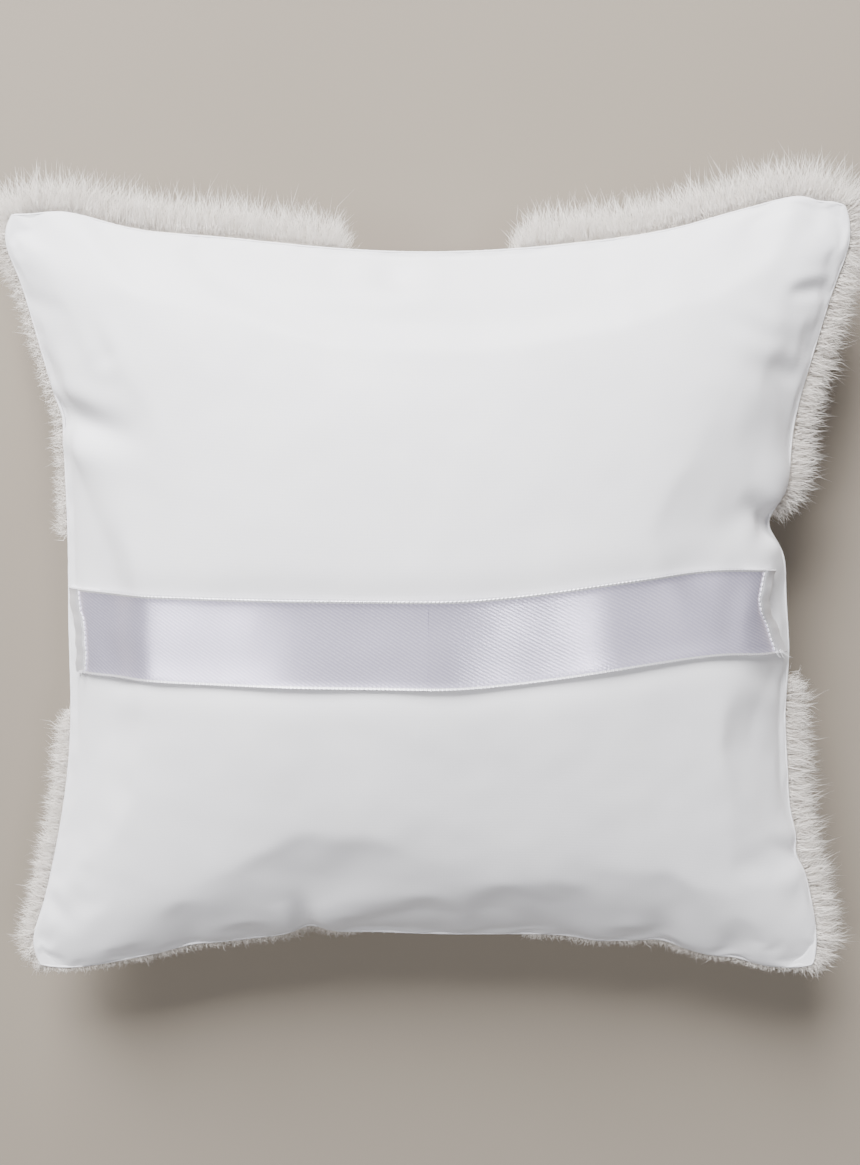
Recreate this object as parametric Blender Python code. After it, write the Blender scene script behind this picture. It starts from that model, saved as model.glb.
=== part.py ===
"""A ring bearer pillow lying on its fur front, with its satin back and hand strap up.

Metres, +Z up. X runs across the pillow, +Y is its far side, and the origin is on the floor under its middle.
The back and the front are two crowned sheets that meet at a seam. Both are worked out from one outline, so
every layer, band and stitch takes its place from the same surfaces and a named clearance.
"""

import math

import bmesh
import bpy
from mathutils import Matrix, Vector

# The seam's outline
CORNER_WIDTH = 0.2275  # across the stitched corners, before their tips are rounded
CORNER_DEPTH = 0.2175
WAIST_WIDTH = 0.1920  # across the middle, where the filling pulls the sides in
WAIST_DEPTH = 0.1850
SIDE_BOW = 2.0  # how late the sides leave the waist on their way to a corner
TIP_ROUNDING = 0.055  # share of the half width that a rounded tip loses
TIP_SHARPNESS = 11.0

# Heights
BACK_CROWN = 0.0290  # the back's rise above the seam
FRONT_CROWN = 0.0200  # the front's drop below the seam
PILE_PRESSED = 0.0085  # the pile between the floor and the backing, under the pillow's weight
CROWN_EDGE = 1.25  # below 2 the panels leave the seam steeply
FRONT_FLATNESS = 3.0  # how broadly the front lies flat

# Cloth
SATIN_THICK = 0.0005
BACKING_THICK = 0.0012
PILE_LENGTH = 0.0110
PILE_SPREAD = 1.6  # how far the pile at the seam turns outwards
PILE_TURN = 8  # how close to the seam that turning stays
PILE_SHOULDER = 0.35  # share of the pile's length that stands right beside a sash
SHOULDER_SHARES = (0.06, 0.13)  # the two narrow strips of pile beside a sash, as shares of the quarter
PILE_FADE = 0.0050  # the pile's rounded shoulder beside a sash
PILE_GAP = 0.0008  # between the backing and the standing pile
LAYER_GAP = 0.0004
SEAM_GAP = 0.0011
THREAD = 0.0005
FILL_GAP = 0.0006
SEAM_ALLOWANCE = 0.0046  # the turned-in edge that the filling keeps clear of

# Sashes across the front
SASH_WIDTH = 0.0380
SASH_MARGIN = 0.0040  # from a sash's edge to the pile that it parts
SASH_CHANNEL = SASH_WIDTH + 2 * SASH_MARGIN
SASH_LEVEL = 0.0010  # how far past the lower sash the upper one stays raised
SASH_RAMP = 0.0060

# Hand strap across the back
STRAP_WIDTH = 0.0220
STRAP_OFFSET = -0.0060  # its middle, towards the near side
STRAP_RISE = 0.0060  # how much further its right end is sewn towards the far side
STRAP_MIDDLE = 0.0640  # the length that lifts as one
STRAP_INSET = 0.0016  # its ends, in from the seam
TUCK_LENGTH = 0.0100
STITCH_INSET = 0.0045
SPAN_GAP = 0.0003

# Closing of the turning gap
CLOSING_MIDDLE = -0.0330
CLOSING_LENGTH = 0.0480
CLOSING_PITCH = 0.0030
CLOSING_BITE = 0.0010

# Bow
BOW_RIBBON = 0.0160
BOW_LOOP_LENGTH = 0.0300
BOW_ROOM = 0.0011  # between the knot and the floor
LOOP_SHORTFALL = 0.0006  # how much flatter the loops are than the knot
LOOP_WALL = 0.0006
LOOP_NECK = 0.55  # share of its height that a loop has beside the knot
LOOP_FILLING = 1.6  # how soon a loop reaches its full height
KNOT_LENGTH = 0.0110
KNOT_WIDTH = 0.0130
KNOT_ROUNDING = 0.0016
TAIL_LENGTH = 0.0420
TAIL_NOTCH = 0.0060
TAIL_ROOT = 0.0003

PANEL_CELLS = 18
FILL_CELLS = 12
PILE_CELLS = 9
BAND_CELLS = 4
STITCH_CELLS = 10
SEAM_CELLS = 16
LOOP_CELLS = 28
NUDGE = 1e-4  # the step of a numerical slope
SLOPE_LIMIT = 0.995  # the outermost share where a slope is taken

SEAM_Z = PILE_PRESSED + FRONT_CROWN + SEAM_GAP / 2
WHITE = (0.86, 0.85, 0.86)


def material(name, colour, roughness, metallic=0.0):
    """A Principled material of one colour."""
    made = bpy.data.materials.new(name)
    made.use_nodes = True
    shader = made.node_tree.nodes["Principled BSDF"]
    shader.inputs["Base Color"].default_value = (*colour, 1.0)
    shader.inputs["Roughness"].default_value = roughness
    shader.inputs["Metallic"].default_value = metallic
    return made


def add_holder(name, place):
    """An empty that the nodes of one sub-assembly hang from."""
    holder = bpy.data.objects.new(name, None)
    holder.location = place
    bpy.context.scene.collection.objects.link(holder)
    return holder


def add_object(name, shape, finish, holder):
    """Puts a mesh or a curve into the scene as a node of its holder, with its origin at its own middle."""
    made = bpy.data.objects.new(name, shape)
    made.data.materials.append(finish)
    bpy.context.scene.collection.objects.link(made)
    bpy.context.view_layer.update()
    corners = [Vector(corner) for corner in made.bound_box]
    middle = (corners[0] + corners[6]) / 2
    shape.transform(Matrix.Translation(-middle))
    made.parent = holder
    made.location = middle - holder.location
    return made


def smoothstep(x):
    """0 to 1 with flat ends."""
    x = min(1.0, max(0.0, x))
    return x * x * (3 - 2 * x)


def half_width(v):
    """From the middle line to the seam on the right, at depth share v."""
    waist, corner = WAIST_WIDTH / 2, CORNER_WIDTH / 2
    return (waist + (corner - waist) * abs(v) ** SIDE_BOW) * (1 - TIP_ROUNDING * abs(v) ** TIP_SHARPNESS)


def half_depth(u):
    """From the middle line to the far seam, at width share u."""
    waist, corner = WAIST_DEPTH / 2, CORNER_DEPTH / 2
    return (waist + (corner - waist) * abs(u) ** SIDE_BOW) * (1 - TIP_ROUNDING * abs(u) ** TIP_SHARPNESS)


def fullness(u, v):
    """How much of the crown's height is reached: 0 at the seam, 1 in the middle."""
    return (max(0.0, 1 - u * u) * max(0.0, 1 - v * v)) ** (CROWN_EDGE / 2)


def back_point(u, v):
    """A point on the outside of the back panel."""
    height = SEAM_Z + SEAM_GAP / 2 + BACK_CROWN * fullness(u, v)
    return Vector((u * half_width(v), v * half_depth(u), height))


def front_point(u, v):
    """A point on the outside of the fur's backing, which faces down."""
    drop = FRONT_CROWN * (1 - (1 - fullness(u, v)) ** FRONT_FLATNESS)
    return Vector((u * half_width(v), v * half_depth(u), SEAM_Z - SEAM_GAP / 2 - drop))


def outward(surface, u, v):
    """The direction out of the pillow at a point of one of its two surfaces."""
    inner_u, inner_v = (max(-SLOPE_LIMIT, min(SLOPE_LIMIT, share)) for share in (u, v))
    along = surface(inner_u + NUDGE, inner_v) - surface(inner_u - NUDGE, inner_v)
    across = surface(inner_u, inner_v + NUDGE) - surface(inner_u, inner_v - NUDGE)
    normal = along.cross(across).normalized()
    return normal if surface is back_point else -normal


def offset(surface, u, v, distance):
    """A point that far outside a surface, or inside it where the distance is negative."""
    return surface(u, v) + outward(surface, u, v) * distance


def shares_at(x, y):
    """The shares (u, v) of the outline at a place seen from above."""
    u = v = 0.0
    for _ in range(30):
        u = max(-1.0, min(1.0, x / half_width(v)))
        v = max(-1.0, min(1.0, y / half_depth(u)))
    return u, v


def spaced(low, high, cells):
    """Shares that crowd towards the seam, where the panels curve most."""
    start, end = math.asin(low), math.asin(high)
    return [math.sin(start + (end - start) * i / cells) for i in range(cells + 1)]


def mesh_from(name, shape):
    """The finished mesh of a closed shape whose faces all turn one way: outwards, once this has run."""
    if shape.calc_volume(signed=True) < 0:
        bmesh.ops.reverse_faces(shape, faces=shape.faces)
    mesh = bpy.data.meshes.new(name)
    shape.to_mesh(mesh)
    shape.free()
    mesh.shade_smooth()
    mesh.set_sharp_from_angle(angle=math.radians(50))
    return mesh


def solid_between(name, first, second):
    """A closed mesh between two grids of points of the same size."""
    shape = bmesh.new()
    skins = [[[shape.verts.new(p) for p in row] for row in grid] for grid in (first, second)]
    rows, columns = len(first), len(first[0])
    for skin, turned in zip(skins, (False, True)):
        for i in range(rows - 1):
            for j in range(columns - 1):
                face = (skin[i][j], skin[i + 1][j], skin[i + 1][j + 1], skin[i][j + 1])
                shape.faces.new(face[::-1] if turned else face)
    rim = [(i, 0) for i in range(rows)] + [(rows - 1, j) for j in range(1, columns)]
    rim += [(i, columns - 1) for i in range(rows - 2, -1, -1)] + [(0, j) for j in range(columns - 2, 0, -1)]
    for (i, j), (k, m) in zip(rim, rim[1:] + rim[:1]):
        shape.faces.new((skins[0][k][m], skins[0][i][j], skins[1][i][j], skins[1][k][m]))
    return mesh_from(name, shape)


def prism(name, outline, along, hole=None):
    """An outline pushed along a direction into a solid. A hole has as many points as the outline."""
    shape = bmesh.new()
    rings = [[shape.verts.new(p) for p in outline], [shape.verts.new(Vector(p) + along) for p in outline]]
    if hole is None:
        shape.faces.new(rings[0][::-1])
        shape.faces.new(rings[1])
        pairs = [(rings[0], rings[1])]
    else:
        rings += [[shape.verts.new(Vector(p) + along) for p in hole], [shape.verts.new(p) for p in hole]]
        pairs = list(zip(rings, rings[1:] + rings[:1]))
    for first, second in pairs:
        for i in range(len(outline)):
            k = (i + 1) % len(outline)
            shape.faces.new((first[i], first[k], second[k], second[i]))
    return mesh_from(name, shape)


def thread_curve(name, points):
    """A round thread along points."""
    curve = bpy.data.curves.new(name, "CURVE")
    curve.dimensions = "3D"
    curve.bevel_depth = THREAD / 2
    curve.bevel_resolution = 0
    curve.use_fill_caps = True
    spline = curve.splines.new("POLY")
    spline.points.add(len(points) - 1)
    for knot, point in zip(spline.points, points):
        knot.co = (*point, 1.0)
    return curve


def add_back_panel(satin, body):
    """The crowned satin back."""
    shares = spaced(-1, 1, PANEL_CELLS)
    outside = [[back_point(u, v) for v in shares] for u in shares]
    inside = [[offset(back_point, u, v, -SATIN_THICK) for v in shares] for u in shares]
    for row in inside:
        for point in row:
            point.z = max(point.z, SEAM_Z + SEAM_GAP / 2)
    add_object("back_panel", solid_between("back_panel", outside, inside), satin, body)


def add_fur_backing(knit, body):
    """The knitted cloth of the fur front."""
    shares = spaced(-1, 1, PANEL_CELLS)
    outside = [[front_point(u, v) for v in shares] for u in shares]
    inside = [[offset(front_point, u, v, -BACKING_THICK) for v in shares] for u in shares]
    for row in inside:
        for point in row:
            point.z = min(point.z, SEAM_Z - SEAM_GAP / 2)
    add_object("fur_backing", solid_between("fur_backing", outside, inside), knit, body)


def add_fibrefill(wadding, body):
    """The stuffing, which keeps clear of the turned-in seam."""
    edge = 1 - SEAM_ALLOWANCE / (WAIST_WIDTH / 2)
    shares = spaced(-edge, edge, FILL_CELLS)
    under_back = SATIN_THICK + FILL_GAP
    over_front = BACKING_THICK + FILL_GAP
    top = [[offset(back_point, u, v, -under_back) for v in shares] for u in shares]
    bottom = [[offset(front_point, u, v, -over_front) for v in shares] for u in shares]
    add_object("fibrefill", solid_between("fibrefill", top, bottom), wadding, body)


def pile_tip(u, v):
    """Where the pile ends: standing off the backing, spread outwards at the seam, and flat on the floor."""
    root = offset(front_point, u, v, PILE_GAP)
    level = Vector((root.x * abs(u) ** PILE_TURN, root.y * abs(v) ** PILE_TURN, 0.0))
    if level.length > 0:
        level = level.normalized() * max(abs(u), abs(v)) ** PILE_TURN
    direction = (outward(front_point, u, v) + level * PILE_SPREAD).normalized()
    beside_sash = min(abs(root.x), abs(root.y)) - SASH_CHANNEL / 2
    length = PILE_LENGTH * (PILE_SHOULDER + (1 - PILE_SHOULDER) * smoothstep(beside_sash / PILE_FADE))
    tip = root + direction * length
    tip.z = max(0.0, tip.z)
    return tip


def pile_shares(place, reach):
    """Shares from the sash's parting to the seam."""
    start = place / reach
    first, second = (start + (1 - start) * share for share in SHOULDER_SHARES)
    return [start, first] + spaced(second, 1, PILE_CELLS)


def add_pile(name, side, end, fur, body):
    """The standing pile of one quarter of the front."""
    across = pile_shares(SASH_CHANNEL / 2, WAIST_WIDTH / 2)
    along = pile_shares(SASH_CHANNEL / 2, WAIST_DEPTH / 2)
    roots = [[offset(front_point, side * u, end * v, PILE_GAP) for v in along] for u in across]
    tips = [[pile_tip(side * u, end * v) for v in along] for u in across]
    add_object(name, solid_between(name, roots, tips), fur, body)


def band(path, width, surface, clearance):
    """The two faces of a flat ribbon on a surface, along places seen from above, as grids of points."""
    grids = ([], [])
    for i, here in enumerate(path):
        before, after = path[max(0, i - 1)], path[min(len(path) - 1, i + 1)]
        heading = Vector((after[0] - before[0], after[1] - before[1])).normalized()
        rows = ([], [])
        for j in range(BAND_CELLS + 1):
            aside = width * (j / BAND_CELLS - 0.5)
            u, v = shares_at(here[0] - heading.y * aside, here[1] + heading.x * aside)
            near = clearance(here)
            rows[0].append(offset(surface, u, v, near))
            rows[1].append(offset(surface, u, v, near + SATIN_THICK))
        grids[0].append(rows[0])
        grids[1].append(rows[1])
    return grids


def add_sashes(satin, trim):
    """The two bands over the fur, one passing over the other in the middle."""

    def passes_over(place):
        clear_of_other = SATIN_THICK + LAYER_GAP
        ramp = (abs(place[0]) - SASH_WIDTH / 2 - SASH_LEVEL) / SASH_RAMP
        return LAYER_GAP + clear_of_other * (1 - smoothstep(ramp))

    depth, width = WAIST_DEPTH / 2, WAIST_WIDTH / 2
    lengthwise = [(0.0, depth * share) for share in spaced(-1, 1, PANEL_CELLS)]
    crosswise = [(width * share, 0.0) for share in spaced(-1, 1, 2 * PANEL_CELLS)]
    lower = band(lengthwise, SASH_WIDTH, front_point, lambda _: LAYER_GAP)
    upper = band(crosswise, SASH_WIDTH, front_point, passes_over)
    for name, faces in (("sash_lengthwise", lower), ("sash_crosswise", upper)):
        add_object(name, solid_between(name, *faces), satin, trim)


def strap_place(x):
    """The strap's centre line, seen from above."""
    return (x, STRAP_OFFSET + STRAP_RISE * x / WAIST_WIDTH)


def strap_clearance():
    """The strap's height over the back, which leaves room for its folded end."""
    return 2 * LAYER_GAP + SATIN_THICK


def strap_end():
    """How far out the strap's ends are sewn."""
    return WAIST_WIDTH / 2 - STRAP_INSET


def add_strap(satin, strap):
    """The hand strap's three stretches and the folded ends under it."""
    half, end = STRAP_MIDDLE / 2, strap_end()
    stretches = {
        "hand_strap_middle": (-half, half, 8),
        "hand_strap_left_span": (-end, -half - SPAN_GAP, 24),
        "hand_strap_right_span": (half + SPAN_GAP, end, 24),
        "strap_tuck_left": (-end, -end + TUCK_LENGTH, 4),
        "strap_tuck_right": (end - TUCK_LENGTH, end, 4),
    }
    for name, (start, stop, cells) in stretches.items():
        path = [strap_place(start + (stop - start) * i / cells) for i in range(cells + 1)]
        near = LAYER_GAP if "tuck" in name else strap_clearance()
        faces = band(path, STRAP_WIDTH, back_point, lambda _, near=near: near)
        add_object(name, solid_between(name, *faces), satin, strap)


def add_strap_stitches(cotton, strap):
    """The line of stitching across each strap end."""
    over = strap_clearance() + SATIN_THICK + LAYER_GAP + THREAD / 2
    for side, word in ((-1, "left"), (1, "right")):
        x, y = strap_place(side * (strap_end() - STITCH_INSET))
        steps = [STRAP_WIDTH * (i / STITCH_CELLS - 0.5) for i in range(STITCH_CELLS + 1)]
        points = [offset(back_point, *shares_at(x, y + step), over) for step in steps]
        add_object(f"strap_stitch_{word}", thread_curve(f"strap_stitch_{word}", points), cotton, strap)


def seam_place(u, v, inset):
    """A point that far inside the seam's line."""
    point = Vector((u * half_width(v), v * half_depth(u), SEAM_Z))
    return point - Vector((point.x, point.y, 0)).normalized() * inset


def add_seam(cotton, body):
    """The machine seam round the edge, and the hand stitches that close its turning gap."""
    near_depth = -half_depth(0)
    closing = [CLOSING_MIDDLE - CLOSING_LENGTH / 2, CLOSING_MIDDLE + CLOSING_LENGTH / 2]
    starts, ends = (shares_at(x, near_depth)[0] for x in closing)
    shares = spaced(-1, 1, SEAM_CELLS)
    route = [(ends + (1 - ends) * i / 8, -1) for i in range(9)]
    route += [(1, v) for v in shares[1:]]
    route += [(u, 1) for u in shares[-2::-1]]
    route += [(-1, v) for v in shares[-2::-1]]
    route += [(-1 + (starts + 1) * i / 5, -1) for i in range(1, 6)]
    points = [seam_place(u, v, THREAD) for u, v in route]
    add_object("seam_thread", thread_curve("seam_thread", points), cotton, body)
    count = round(CLOSING_LENGTH / CLOSING_PITCH) * 2
    clear = THREAD / (closing[1] - closing[0]) * (ends - starts) * 2
    stitches = []
    for i in range(count + 1):
        u = starts + clear + (ends - starts - 2 * clear) * i / count
        stitches.append(seam_place(u, -1, THREAD + CLOSING_BITE * (i % 2)))
    add_object("closing_stitch", thread_curve("closing_stitch", stitches), cotton, body)


def bow_top():
    """The underside of the crossing of the sashes, where the bow sits."""
    return front_point(0, 0).z - (2 * LAYER_GAP + 2 * SATIN_THICK) - LAYER_GAP


def loop_outline(start, length, height, middle_z, side):
    """A flattened teardrop, narrow beside the knot."""
    outline = []
    for i in range(LOOP_CELLS):
        angle = 2 * math.pi * i / LOOP_CELLS
        share = (1 - math.cos(angle)) / 2
        fat = LOOP_NECK + (1 - LOOP_NECK) * smoothstep(share * LOOP_FILLING)
        rise = height / 2 * math.sin(angle) * fat
        outline.append((side * (start + length * share), -BOW_RIBBON / 2, middle_z + rise))
    return outline


def tail_outline(side, top):
    """A tail lying along the lengthwise sash towards the near side, with a swallowtail end."""
    root_y = -max(KNOT_WIDTH, BOW_RIBBON) / 2 - LAYER_GAP
    near_x = side * TAIL_ROOT
    far_x = side * (TAIL_ROOT + BOW_RIBBON)
    tip_y = root_y - TAIL_LENGTH
    corners = [(near_x, root_y), (far_x, root_y), (far_x, tip_y)]
    corners += [((near_x + far_x) / 2, tip_y + TAIL_NOTCH), (near_x, tip_y)]
    return [(x, y, top) for x, y in corners]


def add_bow(satin, trim):
    """The flat bow at the crossing: a knot, two loops and two notched tails."""
    top = bow_top()
    knot_height = top - BOW_ROOM
    loop_height = knot_height - LOOP_SHORTFALL
    knot = bmesh.new()
    bmesh.ops.create_cube(knot, size=1.0)
    bmesh.ops.scale(knot, vec=(KNOT_LENGTH, KNOT_WIDTH, knot_height), verts=knot.verts)
    bmesh.ops.translate(knot, vec=(0, 0, top - knot_height / 2), verts=knot.verts)
    edges = list(knot.edges)
    bmesh.ops.bevel(knot, geom=edges, offset=KNOT_ROUNDING, segments=2, affect="EDGES", profile=0.5)
    add_object("bow_knot", mesh_from("bow_knot", knot), satin, trim)
    start = KNOT_LENGTH / 2 + LAYER_GAP
    loop_middle = top - loop_height / 2
    for side, word in ((-1, "left"), (1, "right")):
        outer = loop_outline(start, BOW_LOOP_LENGTH, loop_height, loop_middle, side)
        inner_length, inner_height = (size - 2 * LOOP_WALL for size in (BOW_LOOP_LENGTH, loop_height))
        inner = loop_outline(start + LOOP_WALL, inner_length, inner_height, loop_middle, side)
        loop = prism(f"bow_loop_{word}", outer, Vector((0, BOW_RIBBON, 0)), inner)
        add_object(f"bow_loop_{word}", loop, satin, trim)
        tail = prism(f"bow_tail_{word}", tail_outline(side, top), Vector((0, 0, -SATIN_THICK)))
        add_object(f"bow_tail_{word}", tail, satin, trim)


def main():
    for old in list(bpy.data.objects):
        bpy.data.objects.remove(old, do_unlink=True)
    matte_satin = material("matte_bridal_satin", WHITE, 0.55)
    ribbon = material("ribbon_satin", (0.80, 0.79, 0.84), 0.32)
    knit = material("fur_backing_knit", (0.80, 0.79, 0.77), 0.9)
    fur = material("faux_fur_pile", (0.84, 0.83, 0.81), 0.85)
    wadding = material("polyester_fibrefill", (0.88, 0.88, 0.88), 1.0)
    cotton = material("sewing_thread", (0.85, 0.85, 0.86), 0.6)
    body = add_holder("pillow_body", (0.0, 0.0, SEAM_Z))
    trim = add_holder("front_trim", (0.0, 0.0, bow_top()))
    strap = add_holder("hand_strap_lift_axis", (*strap_place(0.0), back_point(0, 0).z + strap_clearance()))
    add_back_panel(matte_satin, body)
    add_fur_backing(knit, body)
    add_fibrefill(wadding, body)
    for word, end in (("far", 1), ("near", -1)):
        for hand, side in (("left", -1), ("right", 1)):
            add_pile(f"fur_pile_{word}_{hand}", side, end, fur, body)
    add_seam(cotton, body)
    add_sashes(ribbon, trim)
    add_bow(ribbon, trim)
    add_strap(ribbon, strap)
    add_strap_stitches(cotton, strap)


main()
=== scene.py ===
"""The looks of a ring bearer pillow that lies on its fur front, with its satin back and hand strap up.

Metres, +Z up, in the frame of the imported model: X runs across the pillow along the hand strap, +Y is its far
side, and the origin is on the floor under its middle.
"""

import logging
import math
from collections.abc import Sequence
from dataclasses import dataclass, field
from enum import Enum

import bpy
import numpy as np
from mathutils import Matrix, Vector, noise
from mathutils.bvhtree import BVHTree
from mathutils.kdtree import KDTree


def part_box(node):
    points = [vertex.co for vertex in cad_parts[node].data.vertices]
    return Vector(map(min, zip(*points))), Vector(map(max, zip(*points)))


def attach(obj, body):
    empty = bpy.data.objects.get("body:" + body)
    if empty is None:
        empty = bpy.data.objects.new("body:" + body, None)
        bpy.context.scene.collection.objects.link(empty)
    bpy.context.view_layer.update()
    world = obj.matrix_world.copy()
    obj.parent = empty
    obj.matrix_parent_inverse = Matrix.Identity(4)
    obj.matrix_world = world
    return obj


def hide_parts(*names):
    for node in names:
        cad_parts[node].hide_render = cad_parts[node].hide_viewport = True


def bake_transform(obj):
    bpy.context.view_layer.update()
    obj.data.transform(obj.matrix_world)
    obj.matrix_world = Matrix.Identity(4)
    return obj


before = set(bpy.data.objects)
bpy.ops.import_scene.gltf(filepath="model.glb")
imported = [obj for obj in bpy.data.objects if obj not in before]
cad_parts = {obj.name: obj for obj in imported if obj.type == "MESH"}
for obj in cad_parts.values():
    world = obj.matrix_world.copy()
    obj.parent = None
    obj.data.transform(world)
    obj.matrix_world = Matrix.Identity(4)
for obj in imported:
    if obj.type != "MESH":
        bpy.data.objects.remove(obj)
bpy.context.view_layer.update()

MM = 0.001
CLOTH_UV = "cloth"  # the UV map that lies along each cloth's threads
UV_SPAN = 0.25  # metres of cloth that one unit of that map covers
DOWN = np.array([0, 0, -1.0])
UP = np.array([0, 0, 1.0])
log = logging.getLogger("ring_pillow")

Array = np.ndarray
Mesh = bpy.types.Mesh
Piece = bpy.types.Object
Material = bpy.types.Material
Place = tuple[float, float, float]


class Side(Enum):
    """A side of the pillow as (axis across it, way outwards)."""

    LEFT = (0, -1)
    RIGHT = (0, 1)
    NEAR = (1, -1)
    FAR = (1, 1)


class Quarter(Enum):
    """A quarter of the fur front as (sign of X, sign of Y)."""

    FAR_LEFT = (-1, 1)
    FAR_RIGHT = (1, 1)
    NEAR_LEFT = (-1, -1)
    NEAR_RIGHT = (1, -1)


# ---------------------------------------------------------------- small helpers


def smooth(x: Array | float) -> Array:
    """0 to 1 with flat ends.

    Args:
        x: Shares, cut to 0 and 1.

    Returns:
        The eased shares.
    """
    x = np.clip(x, 0.0, 1.0)
    return x * x * (3 - 2 * x)


def bell(x: Array, width: float) -> Array:
    """1 at zero, fading to nothing a few widths away."""
    return np.exp(-((x / width) ** 2))


def unit(vectors: Array) -> Array:
    """The vectors, each with length 1."""
    return vectors / np.maximum(np.linalg.norm(vectors, axis=-1, keepdims=True), 1e-12)


def distances(points: Array) -> Array:
    """How far along a line each of its points is."""
    return np.concatenate([[0], np.cumsum(np.linalg.norm(np.diff(points, axis=0), axis=1))])


def between(places: Array, along: Array, rows: Array) -> Array:
    """Rows of three, read off at places between the ones known along a line."""
    return np.stack([np.interp(places, along, rows[:, k]) for k in range(3)], axis=1)


def wander(points: Array, size: float, seed: float) -> Array:
    """Smooth noise from -1 to 1 at points.

    Args:
        points: Places, as rows of three.
        size: How far apart its swells are, in metres.
        seed: Which part of the noise is used.

    Returns:
        One value for each point.
    """
    shift = Vector((seed, seed * 0.37, seed * 0.71))
    return np.array([noise.noise(Vector(p) / size + shift) for p in points])


def linear(colour: str) -> tuple[float, float, float, float]:
    """A hex colour in sRGB as linear RGBA.

    Args:
        colour: Six hex digits after a hash.

    Returns:
        The colour for a shader's socket.
    """
    shares = [int(colour[i : i + 2], 16) / 255 for i in (1, 3, 5)]
    return (*[c / 12.92 if c <= 0.04045 else ((c + 0.055) / 1.055) ** 2.4 for c in shares], 1.0)


def quad_mesh(name: str, points: Array, quads: Array, triangles: Array | None = None) -> Mesh:
    """A mesh from arrays.

    Args:
        name: The mesh's name.
        points: Its vertices, as rows of three.
        quads: Vertex numbers, as rows of four.
        triangles: Vertex numbers, as rows of three.

    Returns:
        The mesh, smooth shaded.
    """
    if triangles is None:
        triangles = np.zeros((0, 3), int)
    mesh = bpy.data.meshes.new(name)
    mesh.vertices.add(len(points))
    mesh.vertices.foreach_set("co", np.asarray(points, np.float32).ravel())
    corners = np.concatenate([quads.ravel(), triangles.ravel()]).astype(np.int32)
    starts = np.concatenate([np.arange(len(quads)) * 4, 4 * len(quads) + np.arange(len(triangles)) * 3])
    mesh.loops.add(len(corners))
    mesh.loops.foreach_set("vertex_index", corners)
    mesh.polygons.add(len(starts))
    mesh.polygons.foreach_set("loop_start", starts.astype(np.int32))
    mesh.update(calc_edges=True)
    mesh.validate()
    mesh.polygons.foreach_set("use_smooth", np.ones(len(mesh.polygons), bool))
    return mesh


def repeated_mesh(name: str, points: Array, quads: Array, triangles: Array) -> Mesh:
    """A mesh of many copies of one small shape, each with its own points.

    Args:
        name: The mesh's name.
        points: The vertices, as copies, vertices of one and three.
        quads: Vertex numbers in one copy, as rows of four.
        triangles: Vertex numbers in one copy, as rows of three.

    Returns:
        The mesh.
    """
    count, each = points.shape[:2]
    shift = np.arange(count)[:, None, None] * each
    faces = [(face[None] + shift).reshape(-1, face.shape[1]) for face in (quads, triangles)]
    return quad_mesh(name, points.reshape(-1, 3), *faces)


def set_uv(mesh: Mesh, places: Array) -> None:
    """Gives a mesh its cloth map.

    Args:
        mesh: The mesh.
        places: Metres along and across the cloth, one row for each vertex.
    """
    layer = mesh.uv_layers.new(name=CLOTH_UV)
    corners = np.empty(len(mesh.loops), np.int32)
    mesh.loops.foreach_get("vertex_index", corners)
    layer.data.foreach_set("uv", (places[corners] / UV_SPAN + 0.5).astype(np.float32).ravel())


def points_of(mesh: Mesh, kind: str = "co") -> Array:
    """A mesh's vertices as rows of three, or their normals where the kind is "normal".

    Args:
        mesh: The mesh.
        kind: What is read at each vertex.

    Returns:
        The rows.
    """
    flat = np.empty(len(mesh.vertices) * 3, np.float32)
    mesh.vertices.foreach_get(kind, flat)
    return flat.reshape(-1, 3).astype(float)


def move_points(mesh: Mesh, points: Array) -> None:
    """Puts a mesh's vertices somewhere else."""
    mesh.vertices.foreach_set("co", points.astype(np.float32).ravel())
    mesh.update()


def grid_quads(rows: int, columns: int, closed_rows: bool = False) -> Array:
    """The faces of a grid of vertices that are numbered row by row.

    Args:
        rows: How many rows of vertices there are.
        columns: How many vertices each row has.
        closed_rows: Whether each row is a ring.

    Returns:
        Vertex numbers, as rows of four.
    """
    wide = columns if closed_rows else columns - 1
    i, j = (a.ravel() for a in np.meshgrid(np.arange(rows - 1), np.arange(wide), indexing="ij"))
    k = (j + 1) % columns
    return np.stack([i * columns + j, (i + 1) * columns + j, (i + 1) * columns + k, i * columns + k], axis=1)


def closed_sheet(first: Array, second: Array) -> tuple[Array, Array]:
    """A closed skin between two grids of points of the same size.

    Args:
        first: The outer face, as rows, columns and three.
        second: The inner face.

    Returns:
        The vertices and the faces.
    """
    rows, columns = first.shape[:2]
    count = rows * columns
    face = grid_quads(rows, columns)
    rim = [(i, 0) for i in range(rows)] + [(rows - 1, j) for j in range(1, columns)]
    rim += [(i, columns - 1) for i in range(rows - 2, -1, -1)] + [(0, j) for j in range(columns - 2, 0, -1)]
    here = np.array([i * columns + j for i, j in rim])
    after = np.roll(here, -1)
    side = np.stack([after, here, here + count, after + count], axis=1)
    points = np.concatenate([first.reshape(-1, 3), second.reshape(-1, 3)])
    return points, np.concatenate([face, face[:, ::-1] + count, side])


def faces_out(mesh: Mesh) -> None:
    """Turns a closed mesh's faces so that they point outwards.

    Args:
        mesh: The mesh.
    """
    points = points_of(mesh)
    mesh.calc_loop_triangles()
    flat = np.empty(len(mesh.loop_triangles) * 3, np.int32)
    mesh.loop_triangles.foreach_get("vertices", flat)
    a, b, c = (points[flat.reshape(-1, 3)[:, k]] for k in range(3))
    if np.einsum("ij,ij->i", a, np.cross(b, c)).sum() < 0:
        mesh.flip_normals()


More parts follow.
